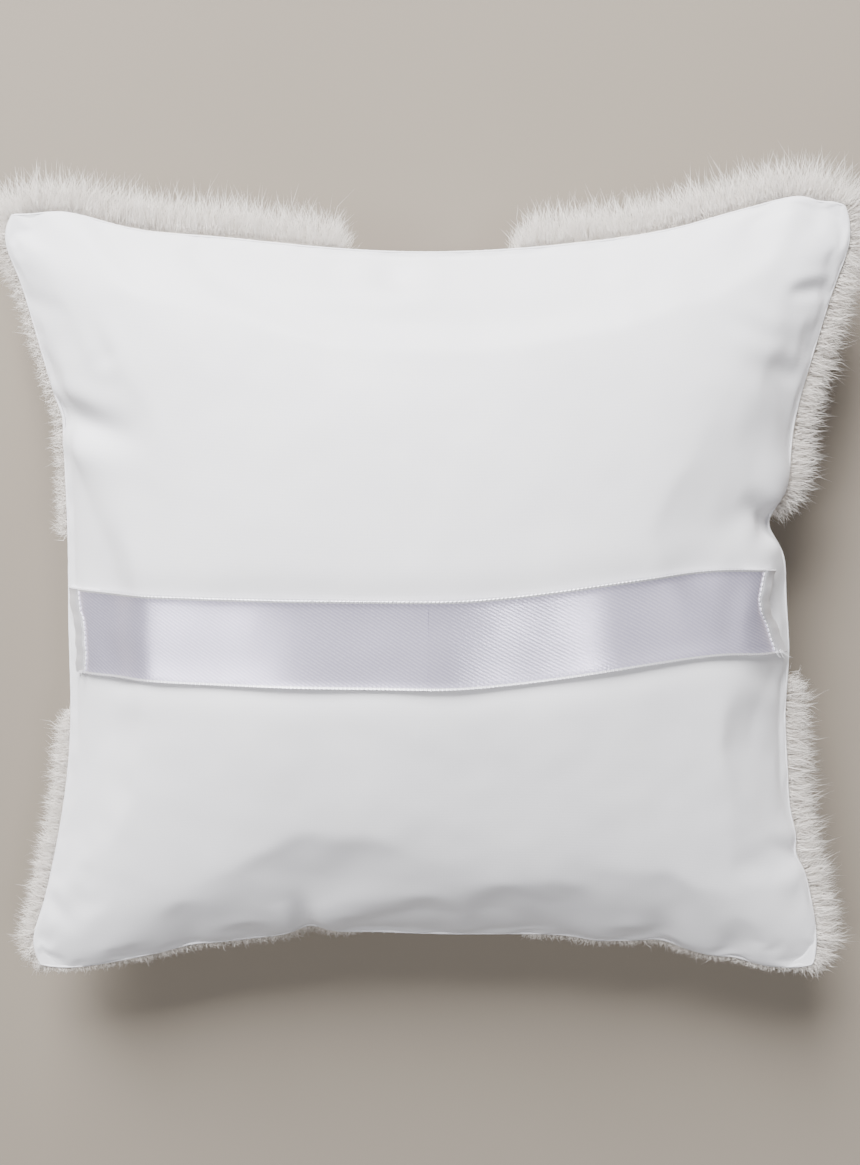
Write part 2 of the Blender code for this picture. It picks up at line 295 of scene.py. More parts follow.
def place_piece(
    name: str, mesh: Mesh, finishes: Sequence[Material], slot: str, *stands_for: str, rides: bool = True
) -> Piece:
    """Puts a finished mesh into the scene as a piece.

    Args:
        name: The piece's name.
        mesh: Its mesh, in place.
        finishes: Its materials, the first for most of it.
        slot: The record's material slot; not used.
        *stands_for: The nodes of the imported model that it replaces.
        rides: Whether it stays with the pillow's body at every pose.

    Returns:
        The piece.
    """
    piece = bpy.data.objects.new(name, mesh)
    mesh.name = name
    for finish in finishes:
        mesh.materials.append(finish)
    bpy.context.scene.collection.objects.link(piece)
    if stands_for:
        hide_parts(*stands_for)
    if rides:
        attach(piece, "root")
    return piece


def only(piece: Piece) -> None:
    """Makes a piece the only one that operators act on."""
    bpy.ops.object.select_all(action="DESELECT")
    piece.select_set(True)
    bpy.context.view_layer.objects.active = piece


def apply_modifier(piece: Piece, kind: str, **settings: object) -> None:
    """Gives a piece a modifier and applies it.

    Args:
        piece: The piece.
        kind: The modifier's type.
        **settings: What the modifier is set to.
    """
    only(piece)
    modifier = piece.modifiers.new(kind.lower(), kind)
    for name, value in settings.items():
        setattr(modifier, name, value)
    bpy.ops.object.modifier_apply(modifier=modifier.name)


# ---------------------------------------------------------------- finishes


def set_inputs(tree: bpy.types.NodeTree, node: bpy.types.Node, inputs: dict[str | int, object]) -> None:
    """Sets a node's inputs.

    Args:
        tree: The material's tree.
        node: The node.
        inputs: For each input, a value or the output that it is linked to.
    """
    for socket, value in inputs.items():
        if isinstance(value, bpy.types.NodeSocket):
            tree.links.new(value, node.inputs[socket])
        else:
            node.inputs[socket].default_value = value


def add_node(
    tree: bpy.types.NodeTree, kind: str, inputs: dict[str | int, object] | None = None, **settings: object
) -> bpy.types.bpy_prop_collection:
    """Adds a node with its settings and links.

    Args:
        tree: The material's tree.
        kind: The node's type, without the word that all types start with.
        inputs: For each input, a value or the output that it is linked to.
        **settings: What the node itself is set to.

    Returns:
        The node's outputs.
    """
    node = tree.nodes.new(f"ShaderNode{kind}")
    for name, value in settings.items():
        setattr(node, name, value)
    set_inputs(tree, node, inputs or {})
    return node.outputs


def start_material(name: str) -> tuple[Material, bpy.types.NodeTree, bpy.types.Node]:
    """A material with its tree and its Principled shader."""
    made = bpy.data.materials.new(name)
    made.use_nodes = True
    return made, made.node_tree, made.node_tree.nodes["Principled BSDF"]


def add_bump(
    tree: bpy.types.NodeTree, height: bpy.types.NodeSocket, strength: float, distance: float
) -> bpy.types.NodeSocket:
    """Adds a bump of a height field, and gives the output for a shader's Normal."""
    return add_node(tree, "Bump", {"Height": height, "Strength": strength, "Distance": distance})["Normal"]


def add_ramp(
    tree: bpy.types.NodeTree, share: bpy.types.NodeSocket, stops: Sequence[tuple[float, str]]
) -> bpy.types.NodeSocket:
    """Adds a ramp between two colours.

    Args:
        tree: The material's tree.
        share: What it is read with.
        stops: Its two stops, each as its position and its colour.

    Returns:
        The output with the colour.
    """
    output = add_node(tree, "ValToRGB", {"Fac": share})["Color"]
    for stop, (position, colour) in zip(output.node.color_ramp.elements, stops):
        stop.position, stop.color = position, linear(colour)
    return output


def band_scale(period: float) -> float:
    """The Scale of a banded wave texture that repeats at this distance."""
    return math.pi / 10 / period


@dataclass(frozen=True)
class MatteSatin:
    """Matte bridal satin: woven polyester whose fine floats give a soft, broad glow and no mirror."""

    high: str = "#F4F3F5"
    low: str = "#ECEBF0"
    mottle: float = 22 * MM
    thread: float = 0.45 * MM  # real threads are a third of this, and too fine to show
    roughness: float = 0.5

    def make(self) -> Material:
        """Builds the material."""
        made, tree, shader = start_material("matte_bridal_satin")
        cloth = add_node(tree, "UVMap", uv_map=CLOTH_UV)["UV"]
        swell = add_node(tree, "TexNoise", {"Vector": cloth, "Scale": UV_SPAN / self.mottle, "Detail": 3.0})
        # Inputs 6 and 7 of a colour mix are its two colours, and output 2 is the mixed one.
        tone = add_node(
            tree, "Mix", {0: swell["Fac"], 6: linear(self.low), 7: linear(self.high)}, data_type="RGBA"
        )
        waves = {"Vector": cloth, "Distortion": 1.5, "Detail": 2.0, "Detail Scale": 3.0}
        bands = band_scale(self.thread / UV_SPAN)
        warp = add_node(tree, "TexWave", waves | {"Scale": bands}, bands_direction="X")
        weft = add_node(tree, "TexWave", waves | {"Scale": bands / 2}, bands_direction="Y")
        weave = add_node(tree, "Math", {0: warp["Fac"], 1: weft["Fac"]}, operation="ADD")
        looks = {
            "Base Color": tone[2],
            "Normal": add_bump(tree, weave[0], 0.12, 0.05 * MM),
            "Roughness": self.roughness,
            "Specular IOR Level": 0.35,
            "Sheen Weight": 0.2,
            "Sheen Roughness": 0.4,
        }
        set_inputs(tree, shader, looks)
        return made


@dataclass(frozen=True)
class RibbonSatin:
    """Single-face satin ribbon: long floats of bright filament that glint in bands across it."""

    name: str = "single_face_satin_ribbon"
    high: str = "#F0EBFC"
    low: str = "#D0C9E4"
    twill: float = 0.8 * MM
    lean: float = math.radians(-58)  # of the twill's lines
    roughness: float = 0.33
    gloss: float = 0.75
    depth: float = 0.35
    fleck: float = 0.5 * MM
    lustre: float = 0.62  # the share of its light that parallel filaments send back like a metal

    def make(self) -> Material:
        """Builds the material."""
        made, tree, shader = start_material(self.name)
        cloth = add_node(tree, "UVMap", uv_map=CLOTH_UV)["UV"]
        turned = add_node(tree, "Mapping", {"Vector": cloth, "Rotation": (0.0, 0.0, self.lean)})
        waves = {"Vector": turned["Vector"], "Distortion": 1.2, "Detail": 3.0, "Detail Scale": 4.0}
        bands = {"Scale": band_scale(self.twill / UV_SPAN)}
        lines = add_node(tree, "TexWave", waves | bands, bands_direction="X")
        fleck = add_node(tree, "TexNoise", {"Vector": cloth, "Scale": UV_SPAN / self.fleck, "Detail": 2.0})
        mixed = add_node(tree, "Math", {0: lines["Fac"], 1: fleck["Fac"]}, operation="MULTIPLY")[0]
        tone = add_node(tree, "MapRange", {"Value": mixed, "From Max": 0.75})["Result"]
        looks = {
            "Base Color": add_ramp(tree, tone, ((0.0, self.low), (1.0, self.high))),
            "Normal": add_bump(tree, mixed, self.depth, 0.08 * MM),
            "Tangent": add_node(tree, "Tangent", direction_type="UV_MAP", uv_map=CLOTH_UV)["Tangent"],
            "Roughness": self.roughness,
            "Specular IOR Level": self.gloss,
            "Metallic": self.lustre,
            "Anisotropic": 0.7,
            "Anisotropic Rotation": 0.25,
            "Sheen Weight": 0.1,
        }
        set_inputs(tree, shader, looks)
        return made


@dataclass(frozen=True)
class Fibre:
    """Loose or spun fibre, whose tone wanders from one bit to the next.

    Attributes:
        name: The finish's name.
        high: Its lighter colour.
        low: Its darker colour.
        grain: How far apart its changes of tone are, in metres.
        roughness: How matt it is.
        sheen: How much its fine hairs catch grazing light.
        relief: The height of its surface's grain, in metres.
    """

    name: str
    high: str
    low: str
    grain: float
    roughness: float = 0.8
    sheen: float = 0.3
    relief: float = 0.0

    def make(self) -> Material:
        """Builds the material."""
        made, tree, shader = start_material(self.name)
        place = add_node(tree, "TexCoord")["Object"]
        grain = add_node(tree, "TexNoise", {"Vector": place, "Scale": 1 / self.grain, "Detail": 4.0})["Fac"]
        looks = {
            "Base Color": add_ramp(tree, grain, ((0.3, self.low), (0.7, self.high))),
            "Roughness": self.roughness,
            "Specular IOR Level": 0.3,
            "Sheen Weight": self.sheen,
            "Sheen Roughness": 0.5,
        }
        if self.relief:
            looks["Normal"] = add_bump(tree, grain, 0.6, self.relief)
        set_inputs(tree, shader, looks)
        return made


@dataclass(frozen=True)
class Finishes:
    """Every material of the pillow."""

    satin: Material
    ribbon: Material
    selvedge: Material
    fur: Material
    under_fur: Material
    knit: Material
    thread: Material

    @classmethod
    def make(cls) -> "Finishes":
        """Builds them all."""
        selvedge = (0.5 * MM, 0.0, 0.45, 0.5, 0.5)  # twill, lean, roughness, gloss and depth
        spun = (0.4 * MM, 0.45, 0.3, 0.05 * MM)  # grain, roughness, sheen and relief
        return cls(
            satin=MatteSatin().make(),
            ribbon=RibbonSatin().make(),
            # The ribbon's woven edge is packed tight, so it is whiter and less glossy than its face; on the
            # strap's folded hems, which are the ribbon's own face, the same whiter finish is a painted
            # highlight.
            selvedge=RibbonSatin("woven_ribbon_selvedge", "#FFFFFF", "#ECEAF2", *selvedge).make(),
            # Faux fur is crimped acrylic staple, slightly warm beside the satin, with no gloss of its own.
            fur=Fibre("acrylic_faux_fur", "#FBF5EF", "#EFE8E0", 2.5 * MM, 0.75, 0.35).make(),
            # The bed under the strands is painted darker than the strands: painted shade for the depth of the
            # pile.
            under_fur=Fibre("dense_under_fur", "#F4EFE9", "#E2DBD2", 1.2 * MM, 0.9, 0.2, 0.4 * MM).make(),
            knit=Fibre("knitted_fur_ground", "#EDEAE4", "#DEDAD2", 0.8 * MM, 0.9, 0.2, 0.2 * MM).make(),
            thread=Fibre("spun_polyester_thread", "#FFFFFF", "#E9E8EE", *spun).make(),
        )


# ---------------------------------------------------------------- the pillow's shape


@dataclass(frozen=True)
class Pucker:
    """A place where stitches pull a side of the seam inwards.

    Attributes:
        side: The side it is on.
        place: Where along that side, in metres from the side's middle.
        pull: How far the seam moves inwards there, in metres, or outwards where it is negative.
        reach: How far along the seam the pull fades out, in metres.
    """

    side: Side
    place: float
    pull: float
    reach: float


PUCKER_ROWS = {  # for each side, rows of place, pull and reach in millimetres
    Side.RIGHT: (
        (21, 5.0, 6.5), (47, 1.6, 17), (-14, -1.6, 14), (-71, 1.4, 4.0), (-58, 0.9, 9.0), (95, -1.8, 10),
    ),
    Side.LEFT: (
        (47, 1.3, 15), (49, 0.8, 4.0), (-8, -1.1, 24), (96, -2.0, 8), (-96, -1.8, 8),
    ),
    Side.FAR: (
        (-104, 2.0, 8), (97, -1.5, 9), (0.0, 1.0, 30), (-78, 2.2, 18), (84, -1.6, 16), (101, 0.8, 3.0),
    ),
    Side.NEAR: (
        (8, -1.3, 24), (-33, 2.2, 5.0), (-66, 0.7, 6.0), (47, -0.8, 6.0), (65, 1.8, 7.0), (86, 0.9, 5.0),
    ),
}
PUCKERS = [Pucker(side, *(size * MM for size in row)) for side, rows in PUCKER_ROWS.items() for row in rows]


@dataclass(frozen=True)
class PillowShape:
    """The seam's outline and the two crowned surfaces that meet at it."""

    corner_width: float = 0.2275
    corner_depth: float = 0.2175
    waist_width: float = 0.1920
    waist_depth: float = 0.1850
    side_bow: float = 2.4
    tip_rounding: float = 0.055
    tip_sharpness: float = 11.0
    crown_edge: float = 1.25
    front_flatness: float = 3.0
    seam_gap: float = 1.1 * MM
    seam_z: float = field(default_factory=lambda: sum(corner.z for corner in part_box("seam_thread")) / 2)
    back_top: float = field(default_factory=lambda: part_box("back_panel")[1].z)
    front_bottom: float = field(default_factory=lambda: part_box("fur_backing")[0].z)

    def half(self, share: Array, waist: float, corner: float) -> Array:
        """From a middle line to the seam, before its puckers."""
        bowed = waist / 2 + (corner - waist) / 2 * np.abs(share) ** self.side_bow
        return bowed * (1 - self.tip_rounding * np.abs(share) ** self.tip_sharpness)

    def plan(self, u: Array, v: Array) -> tuple[Array, Array]:
        """Where shares of the width and the depth lie, seen from above.

        Args:
            u: Shares of the half width, -1 at the left seam and 1 at the right.
            v: Shares of the half depth, -1 at the near seam and 1 at the far one.

        Returns:
            The X and the Y.
        """
        places = [u * self.half(v, self.waist_width, self.corner_width)]
        places.append(v * self.half(u, self.waist_depth, self.corner_depth))
        shares = (u, v)
        moved = [place.copy() for place in places]
        for pucker in PUCKERS:
            axis, way = pucker.side.value
            near_seam = np.clip(way * shares[axis], 0, 1) ** 6
            moved[axis] -= way * pucker.pull * bell(places[1 - axis] - pucker.place, pucker.reach) * near_seam
        return moved[0], moved[1]

    def fullness(self, u: Array, v: Array) -> Array:
        """How much of the crown's height is reached: 0 at the seam, 1 in the middle."""
        return (np.clip(1 - u * u, 0, 1) * np.clip(1 - v * v, 0, 1)) ** (self.crown_edge / 2)

    def back(self, u: Array, v: Array) -> Array:
        """Points on the satin back."""
        x, y = self.plan(u, v)
        return np.stack([x, y, self.seam_z + (self.back_top - self.seam_z) * self.fullness(u, v)], axis=-1)

    def front(self, u: Array, v: Array) -> Array:
        """Points on the outside of the fur's ground cloth, which faces down.

        Args:
            u: Shares of the half width.
            v: Shares of the half depth.

        Returns:
            The points.
        """
        x, y = self.plan(u, v)
        start = self.seam_z - self.seam_gap / 2
        drop = (start - self.front_bottom) * (1 - (1 - self.fullness(u, v)) ** self.front_flatness)
        return np.stack([x, y, start - drop], axis=-1)

    def front_out(self, u: Array, v: Array) -> Array:
        """The direction out of the fur's ground cloth.

        Args:
            u: Shares of the half width.
            v: Shares of the half depth.

        Returns:
            A unit vector for each.
        """
        step = 1e-3
        u, v = np.clip(u, -0.99, 0.99), np.clip(v, -0.99, 0.99)
        along = self.front(u + step, v) - self.front(u - step, v)
        across = self.front(u, v + step) - self.front(u, v - step)
        return -unit(np.cross(along, across))


def crowded(cells: int) -> Array:
    """Shares from -1 to 1 that crowd towards the seam."""
    return np.sin(np.linspace(-math.pi / 2, math.pi / 2, cells + 1))


@dataclass(frozen=True)
class Crease:
    """A fold in the satin, deepest where it starts.

    Attributes:
        start: Where it starts, as (X, Y) in metres.
        end: Where it fades out.
        depth: Its depth at the start, in metres, or its height where it is negative.
        width: Half its width, in metres.
        lip: The height of the soft ridges along it, as a share of its depth.
    """

    start: tuple[float, float]
    end: tuple[float, float]
    depth: float
    width: float
    lip: float

    def rise(self, x: Array, y: Array) -> Array:
        """How far it lifts the cloth, or lowers it where negative, seen from above.

        Args:
            x: The X of places on the cloth.
            y: The Y of those places.

        Returns:
            The rise at each, in metres.
        """
        (x0, y0), (x1, y1) = self.start, self.end
        dx, dy = x1 - x0, y1 - y0
        length = math.hypot(dx, dy)
        t = np.clip(((x - x0) * dx + (y - y0) * dy) / length**2, 0, 1)
        away = np.hypot(x - x0 - t * dx, y - y0 - t * dy)
        fade = 1 - smooth(t * 0.95)
        ridges = self.lip * bell(away - 1.9 * self.width, self.width)
        return self.depth * fade * (ridges - bell(away, self.width))


CREASE_ROWS = (  # each its start and end as X and Y, its depth and width, all in millimetres, and its lip
    (-98, 50, -70, 41, 3.2, 3.6, 0.35),
    (-92, 38, -76, 33, -1.0, 5.0, 0.0),
    (-94, 62, -84, 54, -0.8, 5.0, 0.0),
    (103, 82, 90, 80, 1.5, 1.8, 0.35),
    (100, 74, 84, 70, -0.8, 4.0, 0.0),
    (86, 69, 72, 75, 0.5, 2.6, 0.35),
    (95, 60, 86, 64, 0.7, 2.2, 0.35),
    (92, 59, 66, 66, 0.5, 4.0, 0.35),
    (-82, 64, -87, 75, 0.5, 2.4, 0.35),
    (-86, 66, -91, 78, -0.4, 2.6, 0.0),
    (91, 21, 80, 29, 2.4, 3.2, 0.35),
    (91, 21, 83, 14, 1.2, 2.8, 0.35),
    (95, 33, 84, 38, -0.9, 4.5, 0.0),
    (96, -22, 80, -14, 0.9, 3.2, 0.35),
    (101, -70, 90, -64, 1.2, 2.4, 0.35),
    (100, -77, 93, -75, -0.7, 3.0, 0.0),
    (-104, -84, -95, -93, 0.8, 2.4, 0.35),
    (-97, -84, -88, -78, 0.4, 3.4, 0.35),
    (-33, -91, -36, -76, 1.4, 2.6, 0.35),
    (-66, -97, -62, -84, 0.6, 3.0, 0.35),
    (65, -97, 60, -82, 1.0, 3.4, 0.35),
    (86, -101, 80, -88, 0.8, 3.0, 0.35),
    (28, -94, 30, -82, 0.5, 3.4, 0.35),
    (4, -94, 2, -84, 0.4, 3.0, 0.35),
    (-22, 92, -26, 80, 0.5, 3.6, 0.35),
    (46, 95, 42, 82, 0.6, 3.8, 0.35),
    (-60, 96, -56, 84, 0.5, 3.6, 0.35),
    (101, 100, 88, 88, 0.6, 3.2, 0.35),
    (-8, 86, -80, 92, 1.3, 4.6, 0.35),
    (-8, 86, 62, 89, 1.2, 4.6, 0.35),
    (-100, 97, -88, 86, 0.5, 3.4, 0.35),
)
CREASES = [
    Crease((x0 * MM, y0 * MM), (x1 * MM, y1 * MM), depth * MM, width * MM, lip)
    for x0, y0, x1, y1, depth, width, lip in CREASE_ROWS
]


@dataclass
class StrapLine:
    """Where the hand strap runs, seen from above."""

    start: float = -7.7 * MM  # its middle line at the left end
    rise: float = 6.3 * MM  # how much further off its right end is sewn
    rise_from: float = 2 * MM
    rise_to: float = 76 * MM
    width: float = 22.4 * MM

    def middle(self, x: Array | float) -> Array:
        """The Y of its middle line."""
        lift = smooth((np.asarray(x, float) - self.rise_from) / (self.rise_to - self.rise_from))
        end_dip = 0.8 * MM * smooth((np.asarray(x, float) - 76 * MM) / (14 * MM))
        return self.start + self.rise * lift - end_dip


@dataclass
class SatinBack:
    """The padded satin back: inflated as cloth from a flatter start, then creased and dented."""

    finishes: Finishes
    shape: PillowShape
    strap: StrapLine
    cells: int = 108
    start_share: float = 0.965  # of the crown's height, before it is inflated
    frames: int = 14
    pressure: float = 1.2
    slack: float = 0.005  # how much more cloth there is than the seam takes up
    most_moved: float = 1.5 * MM
    dent: float = 1.5 * MM  # the strap's print
    swell: float = 0.5 * MM
    filling_gap: float = 2.2 * MM
    under_share: float = 0.985  # of the front's width, for the hidden underside
    under_drop: float = 0.98  # of the room down to the ground cloth
    settled_from: float = 9 * MM  # the height over the seam where the swells are full
    coarse: float = 26 * MM
    fine: float = 9 * MM
    print_end: float = 90 * MM  # how far from the middle the strap's print fades out
    print_fade: float = 12 * MM
    roll_height: float = 1.2 * MM  # of the groove beside the rolled edge
    roll_depth: float = 0.12 * MM

    def grids(self) -> tuple[Array, Array, Array, Array]:
        """The shares, and the back and the underside over them.

        Returns:
            The shares of the width and of the depth, and the points of both sides.
        """
        shares = crowded(self.cells)
        u, v = np.meshgrid(shares, shares, indexing="ij")
        top = self.shape.back(u, v)
        top[..., 2] = self.shape.seam_z + (top[..., 2] - self.shape.seam_z) * self.start_share
        bottom = self.shape.front(u * self.under_share, v * self.under_share)
        drop = np.clip(self.shape.seam_z - bottom[..., 2] - self.filling_gap, 0, None)
        bottom[..., 2] = self.shape.seam_z - drop * self.under_drop - 0.05 * MM
        return u, v, top, bottom

    def start_mesh(self) -> Mesh:
        """The closed body before it is inflated, with one ring of vertices at the seam.

        Returns:
            Its mesh.
        """
        u, v, top, bottom = self.grids()
        side = self.cells + 1
        inner = np.zeros((side, side), bool)
        inner[1:-1, 1:-1] = True
        number = np.arange(side * side).reshape(side, side)
        under = number.copy()
        under[inner] = side * side + np.arange(inner.sum())
        points = np.concatenate([top.reshape(-1, 3), bottom[inner]])
        face = grid_quads(side, side)
        mesh = quad_mesh("satin_back", points, np.concatenate([face, under.ravel()[face][:, ::-1]]))
        flat = np.stack([u * self.shape.corner_width / 2, v * self.shape.corner_depth / 2], axis=-1)
        set_uv(mesh, np.concatenate([flat.reshape(-1, 2), flat[inner]]))
        return mesh

    def inflate(self, piece: Piece) -> None:
        """Swells the back as cloth held at its seam, with a little more cloth than the seam takes up.

        Args:
            piece: The closed body.
        """
        mesh = piece.data
        before = points_of(mesh)
        side = self.cells + 1
        edge = np.ones((side, side), bool)
        edge[1:-1, 1:-1] = False
        held = [int(i) for i in np.flatnonzero(edge.ravel())] + list(range(side * side, len(before)))
        group = piece.vertex_groups.new(name="held")
        group.add(held, 1.0, "REPLACE")
        modifier = piece.modifiers.new("inflate", "CLOTH")
        cloth = modifier.settings
        cloth.vertex_group_mass = "held"
        cloth.quality = 6
        cloth.mass = 0.15
        cloth.tension_stiffness = cloth.compression_stiffness = 12
        cloth.shear_stiffness = 6
        cloth.bending_stiffness = 2.0
        cloth.shrink_min = -self.slack
        cloth.use_pressure = True
        cloth.uniform_pressure_force = self.pressure
        cloth.effector_weights.gravity = 0
        modifier.collision_settings.use_collision = False
        modifier.point_cache.frame_start, modifier.point_cache.frame_end = 1, self.frames
        scene = bpy.context.scene
        for number in range(1, self.frames + 1):
            scene.frame_set(number)
        evaluated = piece.evaluated_get(bpy.context.evaluated_depsgraph_get())
        after = points_of(evaluated.data)
        piece.modifiers.clear()
        piece.vertex_groups.clear()
        scene.frame_set(1)
        moved = after - before
        far = np.linalg.norm(moved, axis=1, keepdims=True)
        moved *= np.minimum(1, self.most_moved / np.maximum(far, 1e-9))
        log.info("inflated: moved %.2f mm at most, %.2f mm on average", far.max() / MM, far.mean() / MM)
        move_points(mesh, before + moved)

    def press(self, piece: Piece) -> None:
        """Adds the creases, the rolled seam edge, the strap's print and the filling's soft swells.

        Args:
            piece: The swollen body.
        """
        mesh = piece.data
        points, outwards = points_of(mesh), points_of(mesh, "normal")
        x, y, z = points.T
        up = z > self.shape.seam_z + 0.01 * MM
        height = np.clip(z - self.shape.seam_z, 0, None)
        rise = sum(fold.rise(x, y) for fold in CREASES)
        settled = smooth(height / self.settled_from)
        rise = rise * (0.35 + 0.65 * settled)
        rise += self.swell * wander(points, self.coarse, 3.0) * settled
        rise += 0.3 * self.swell * wander(points, self.fine, 8.0) * settled
        beside = np.abs(y - self.strap.middle(x)) / (self.strap.width * 0.62)
        rise -= self.dent * np.exp(-(beside**4)) * smooth((self.print_end - np.abs(x)) / self.print_fade)
        level = outwards.copy()
        level[:, 2] *= 0.6
        points += unit(level) * (rise * up)[:, None]
        edge = bell(height - self.roll_height, 0.9 * MM) * up
        points -= unit(outwards * [1, 1, 0]) * (self.roll_depth * edge)[:, None]
        move_points(mesh, points)

    def build(self) -> Piece:
        """Makes the back.

        Returns:
            The padded body.
        """
        satin = [self.finishes.satin]
        piece = place_piece(
            "satin_back", self.start_mesh(), satin, "matte_satin", "back_panel", "fibrefill", rides=False
        )
        self.inflate(piece)
        apply_modifier(piece, "SUBSURF", levels=1, render_levels=1)
        self.press(piece)
        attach(piece, "root")
        return piece


# ---------------------------------------------------------------- ribbons


@dataclass
class Ribbon:
    """A woven ribbon with a corded edge, laid along a sheet of points.

    Attributes:
        thick: Its thickness, in metres.
        cord: The radius of its corded edge.
        pitch: The length of one bead of that edge.
        bead: How much each bead swells, as a share of the radius.
        facets: How many vertices each corded edge has in a ring.
    """

    thick: float = 0.34 * MM
    cord: float = 0.36 * MM
    pitch: float = 1.05 * MM
    bead: float = 0.5
    facets: int = 5

    def across(self, width: float, columns: int) -> Array:
        """Even places across it, between its corded edges."""
        half = width / 2 - self.cord * 1.6
        return np.linspace(-half, half, columns)

    def mesh(self, name: str, sheet: Array, run: Array, across: Array) -> Mesh:
        """Builds the ribbon round a sheet of points.

        Args:
            name: The mesh's name.
            sheet: The middle of its thickness, as stations along it, columns across it and three.
            run: How far along the ribbon each station is, in metres.
            across: How far from its middle line each column is, in metres.

        Returns:
            The closed mesh, with its edges in the second material.
        """
        along_way = unit(np.gradient(sheet, axis=0))
        across_way = unit(np.gradient(sheet, axis=1))
        out = unit(np.cross(along_way, across_way))
        stations, columns = sheet.shape[:2]
        half = self.thick / 2
        radius = self.cord * (1 - self.bead / 2 + self.bead * np.abs(np.sin(math.pi * run / self.pitch)))
        rings = [sheet[:, j] + out[:, j] * half for j in range(columns)]
        marks = [across[j] for j in range(columns)]
        for edge, way in ((columns - 1, 1), (0, -1)):
            if way < 0:
                rings += [sheet[:, j] - out[:, j] * half for j in range(columns - 1, -1, -1)]
                marks += [across[j] for j in range(columns - 1, -1, -1)]
            centre = sheet[:, edge] + across_way[:, edge] * (way * self.cord * 0.8)
            for step in range(self.facets):
                angle = math.radians(60 - 30 * step)
                level, upright = way * math.cos(angle), way * math.sin(angle)
                outward = across_way[:, edge] * level + out[:, edge] * upright
                rings.append(centre + outward * radius[:, None])
                marks.append(across[edge] + way * self.cord * (0.8 + math.cos(angle)))
        ring = np.stack(rings, axis=1)
        count = ring.shape[1]
        quads = grid_quads(stations, count, closed_rows=True)
        first = np.arange(count)
        last = first + (stations - 1) * count
        points = np.concatenate([ring.reshape(-1, 3), [ring[0].mean(axis=0), ring[-1].mean(axis=0)]])
        hub = np.full(count, stations * count)
        fans = [np.stack([hub, first, np.roll(first, -1)], axis=1)]
        fans.append(np.stack([hub + 1, np.roll(last, -1), last], axis=1))
        mesh = quad_mesh(name, points, quads, np.concatenate(fans))
        places = np.stack([np.repeat(run, count), np.tile(marks, stations)], axis=1)
        set_uv(mesh, np.concatenate([places, [[run[0], 0.0], [run[-1], 0.0]]]))
        faces_out(mesh)
        right = np.arange(columns - 1, columns + self.facets)
        left = np.arange(2 * columns + self.facets - 1, count)
        corded = np.isin(quads[:, 0] % count, np.concatenate([right, left]))
        kinds = np.concatenate([corded.astype(np.int32), np.zeros(2 * count, np.int32)])
        mesh.polygons.foreach_set("material_index", kinds)
        mesh.polygons.foreach_set("use_smooth", np.arange(len(mesh.polygons)) < len(quads))
        mesh.set_sharp_from_angle(angle=math.radians(50))
        return mesh


def blur(values: Array, spread: float) -> Array:
    """Smooths an array along its first axis.

    Args:
        values: The array.
        spread: How many rows the smoothing reaches, as a standard deviation.

    Returns:
        The smoothed array, of the same shape.
    """
    reach = max(1, int(3 * spread))
    kernel = np.exp(-0.5 * (np.arange(-reach, reach + 1) / spread) ** 2)
    kernel /= kernel.sum()
    start = 2 * values[:1] - values[reach:0:-1]
    end = 2 * values[-1:] - values[-2 : -reach - 2 : -1]
    long = np.concatenate([start, values, end])
    return sum(weight * long[k : k + len(values)] for k, weight in enumerate(kernel))


@dataclass
class StrapEnd:
    """How one end of the strap is sewn down.

    Attributes:
        way: -1 at the left end and 1 at the right.
        reach: How far out the folded end lies, in metres.
        steps: How much further out it lies at even steps from its near corner to its far one, in millimetres.
        thread: How thick its sewing thread is, in metres.
    """

    way: int
    reach: float
    steps: tuple[float, ...]
    thread: float

    def shift(self, across: Array, width: float) -> Array:
        """How much further out the end lies at places across the strap.

        Args:
            across: The places, from the middle line.
            width: The strap's width.

        Returns:
            The distances, in metres.
        """
        share = (across / width + 0.5) * (len(self.steps) - 1)
        low = np.clip(np.floor(share).astype(int), 0, len(self.steps) - 2)
        values = np.array([step * MM for step in self.steps])
        return values[low] + (values[low + 1] - values[low]) * smooth(share - low)


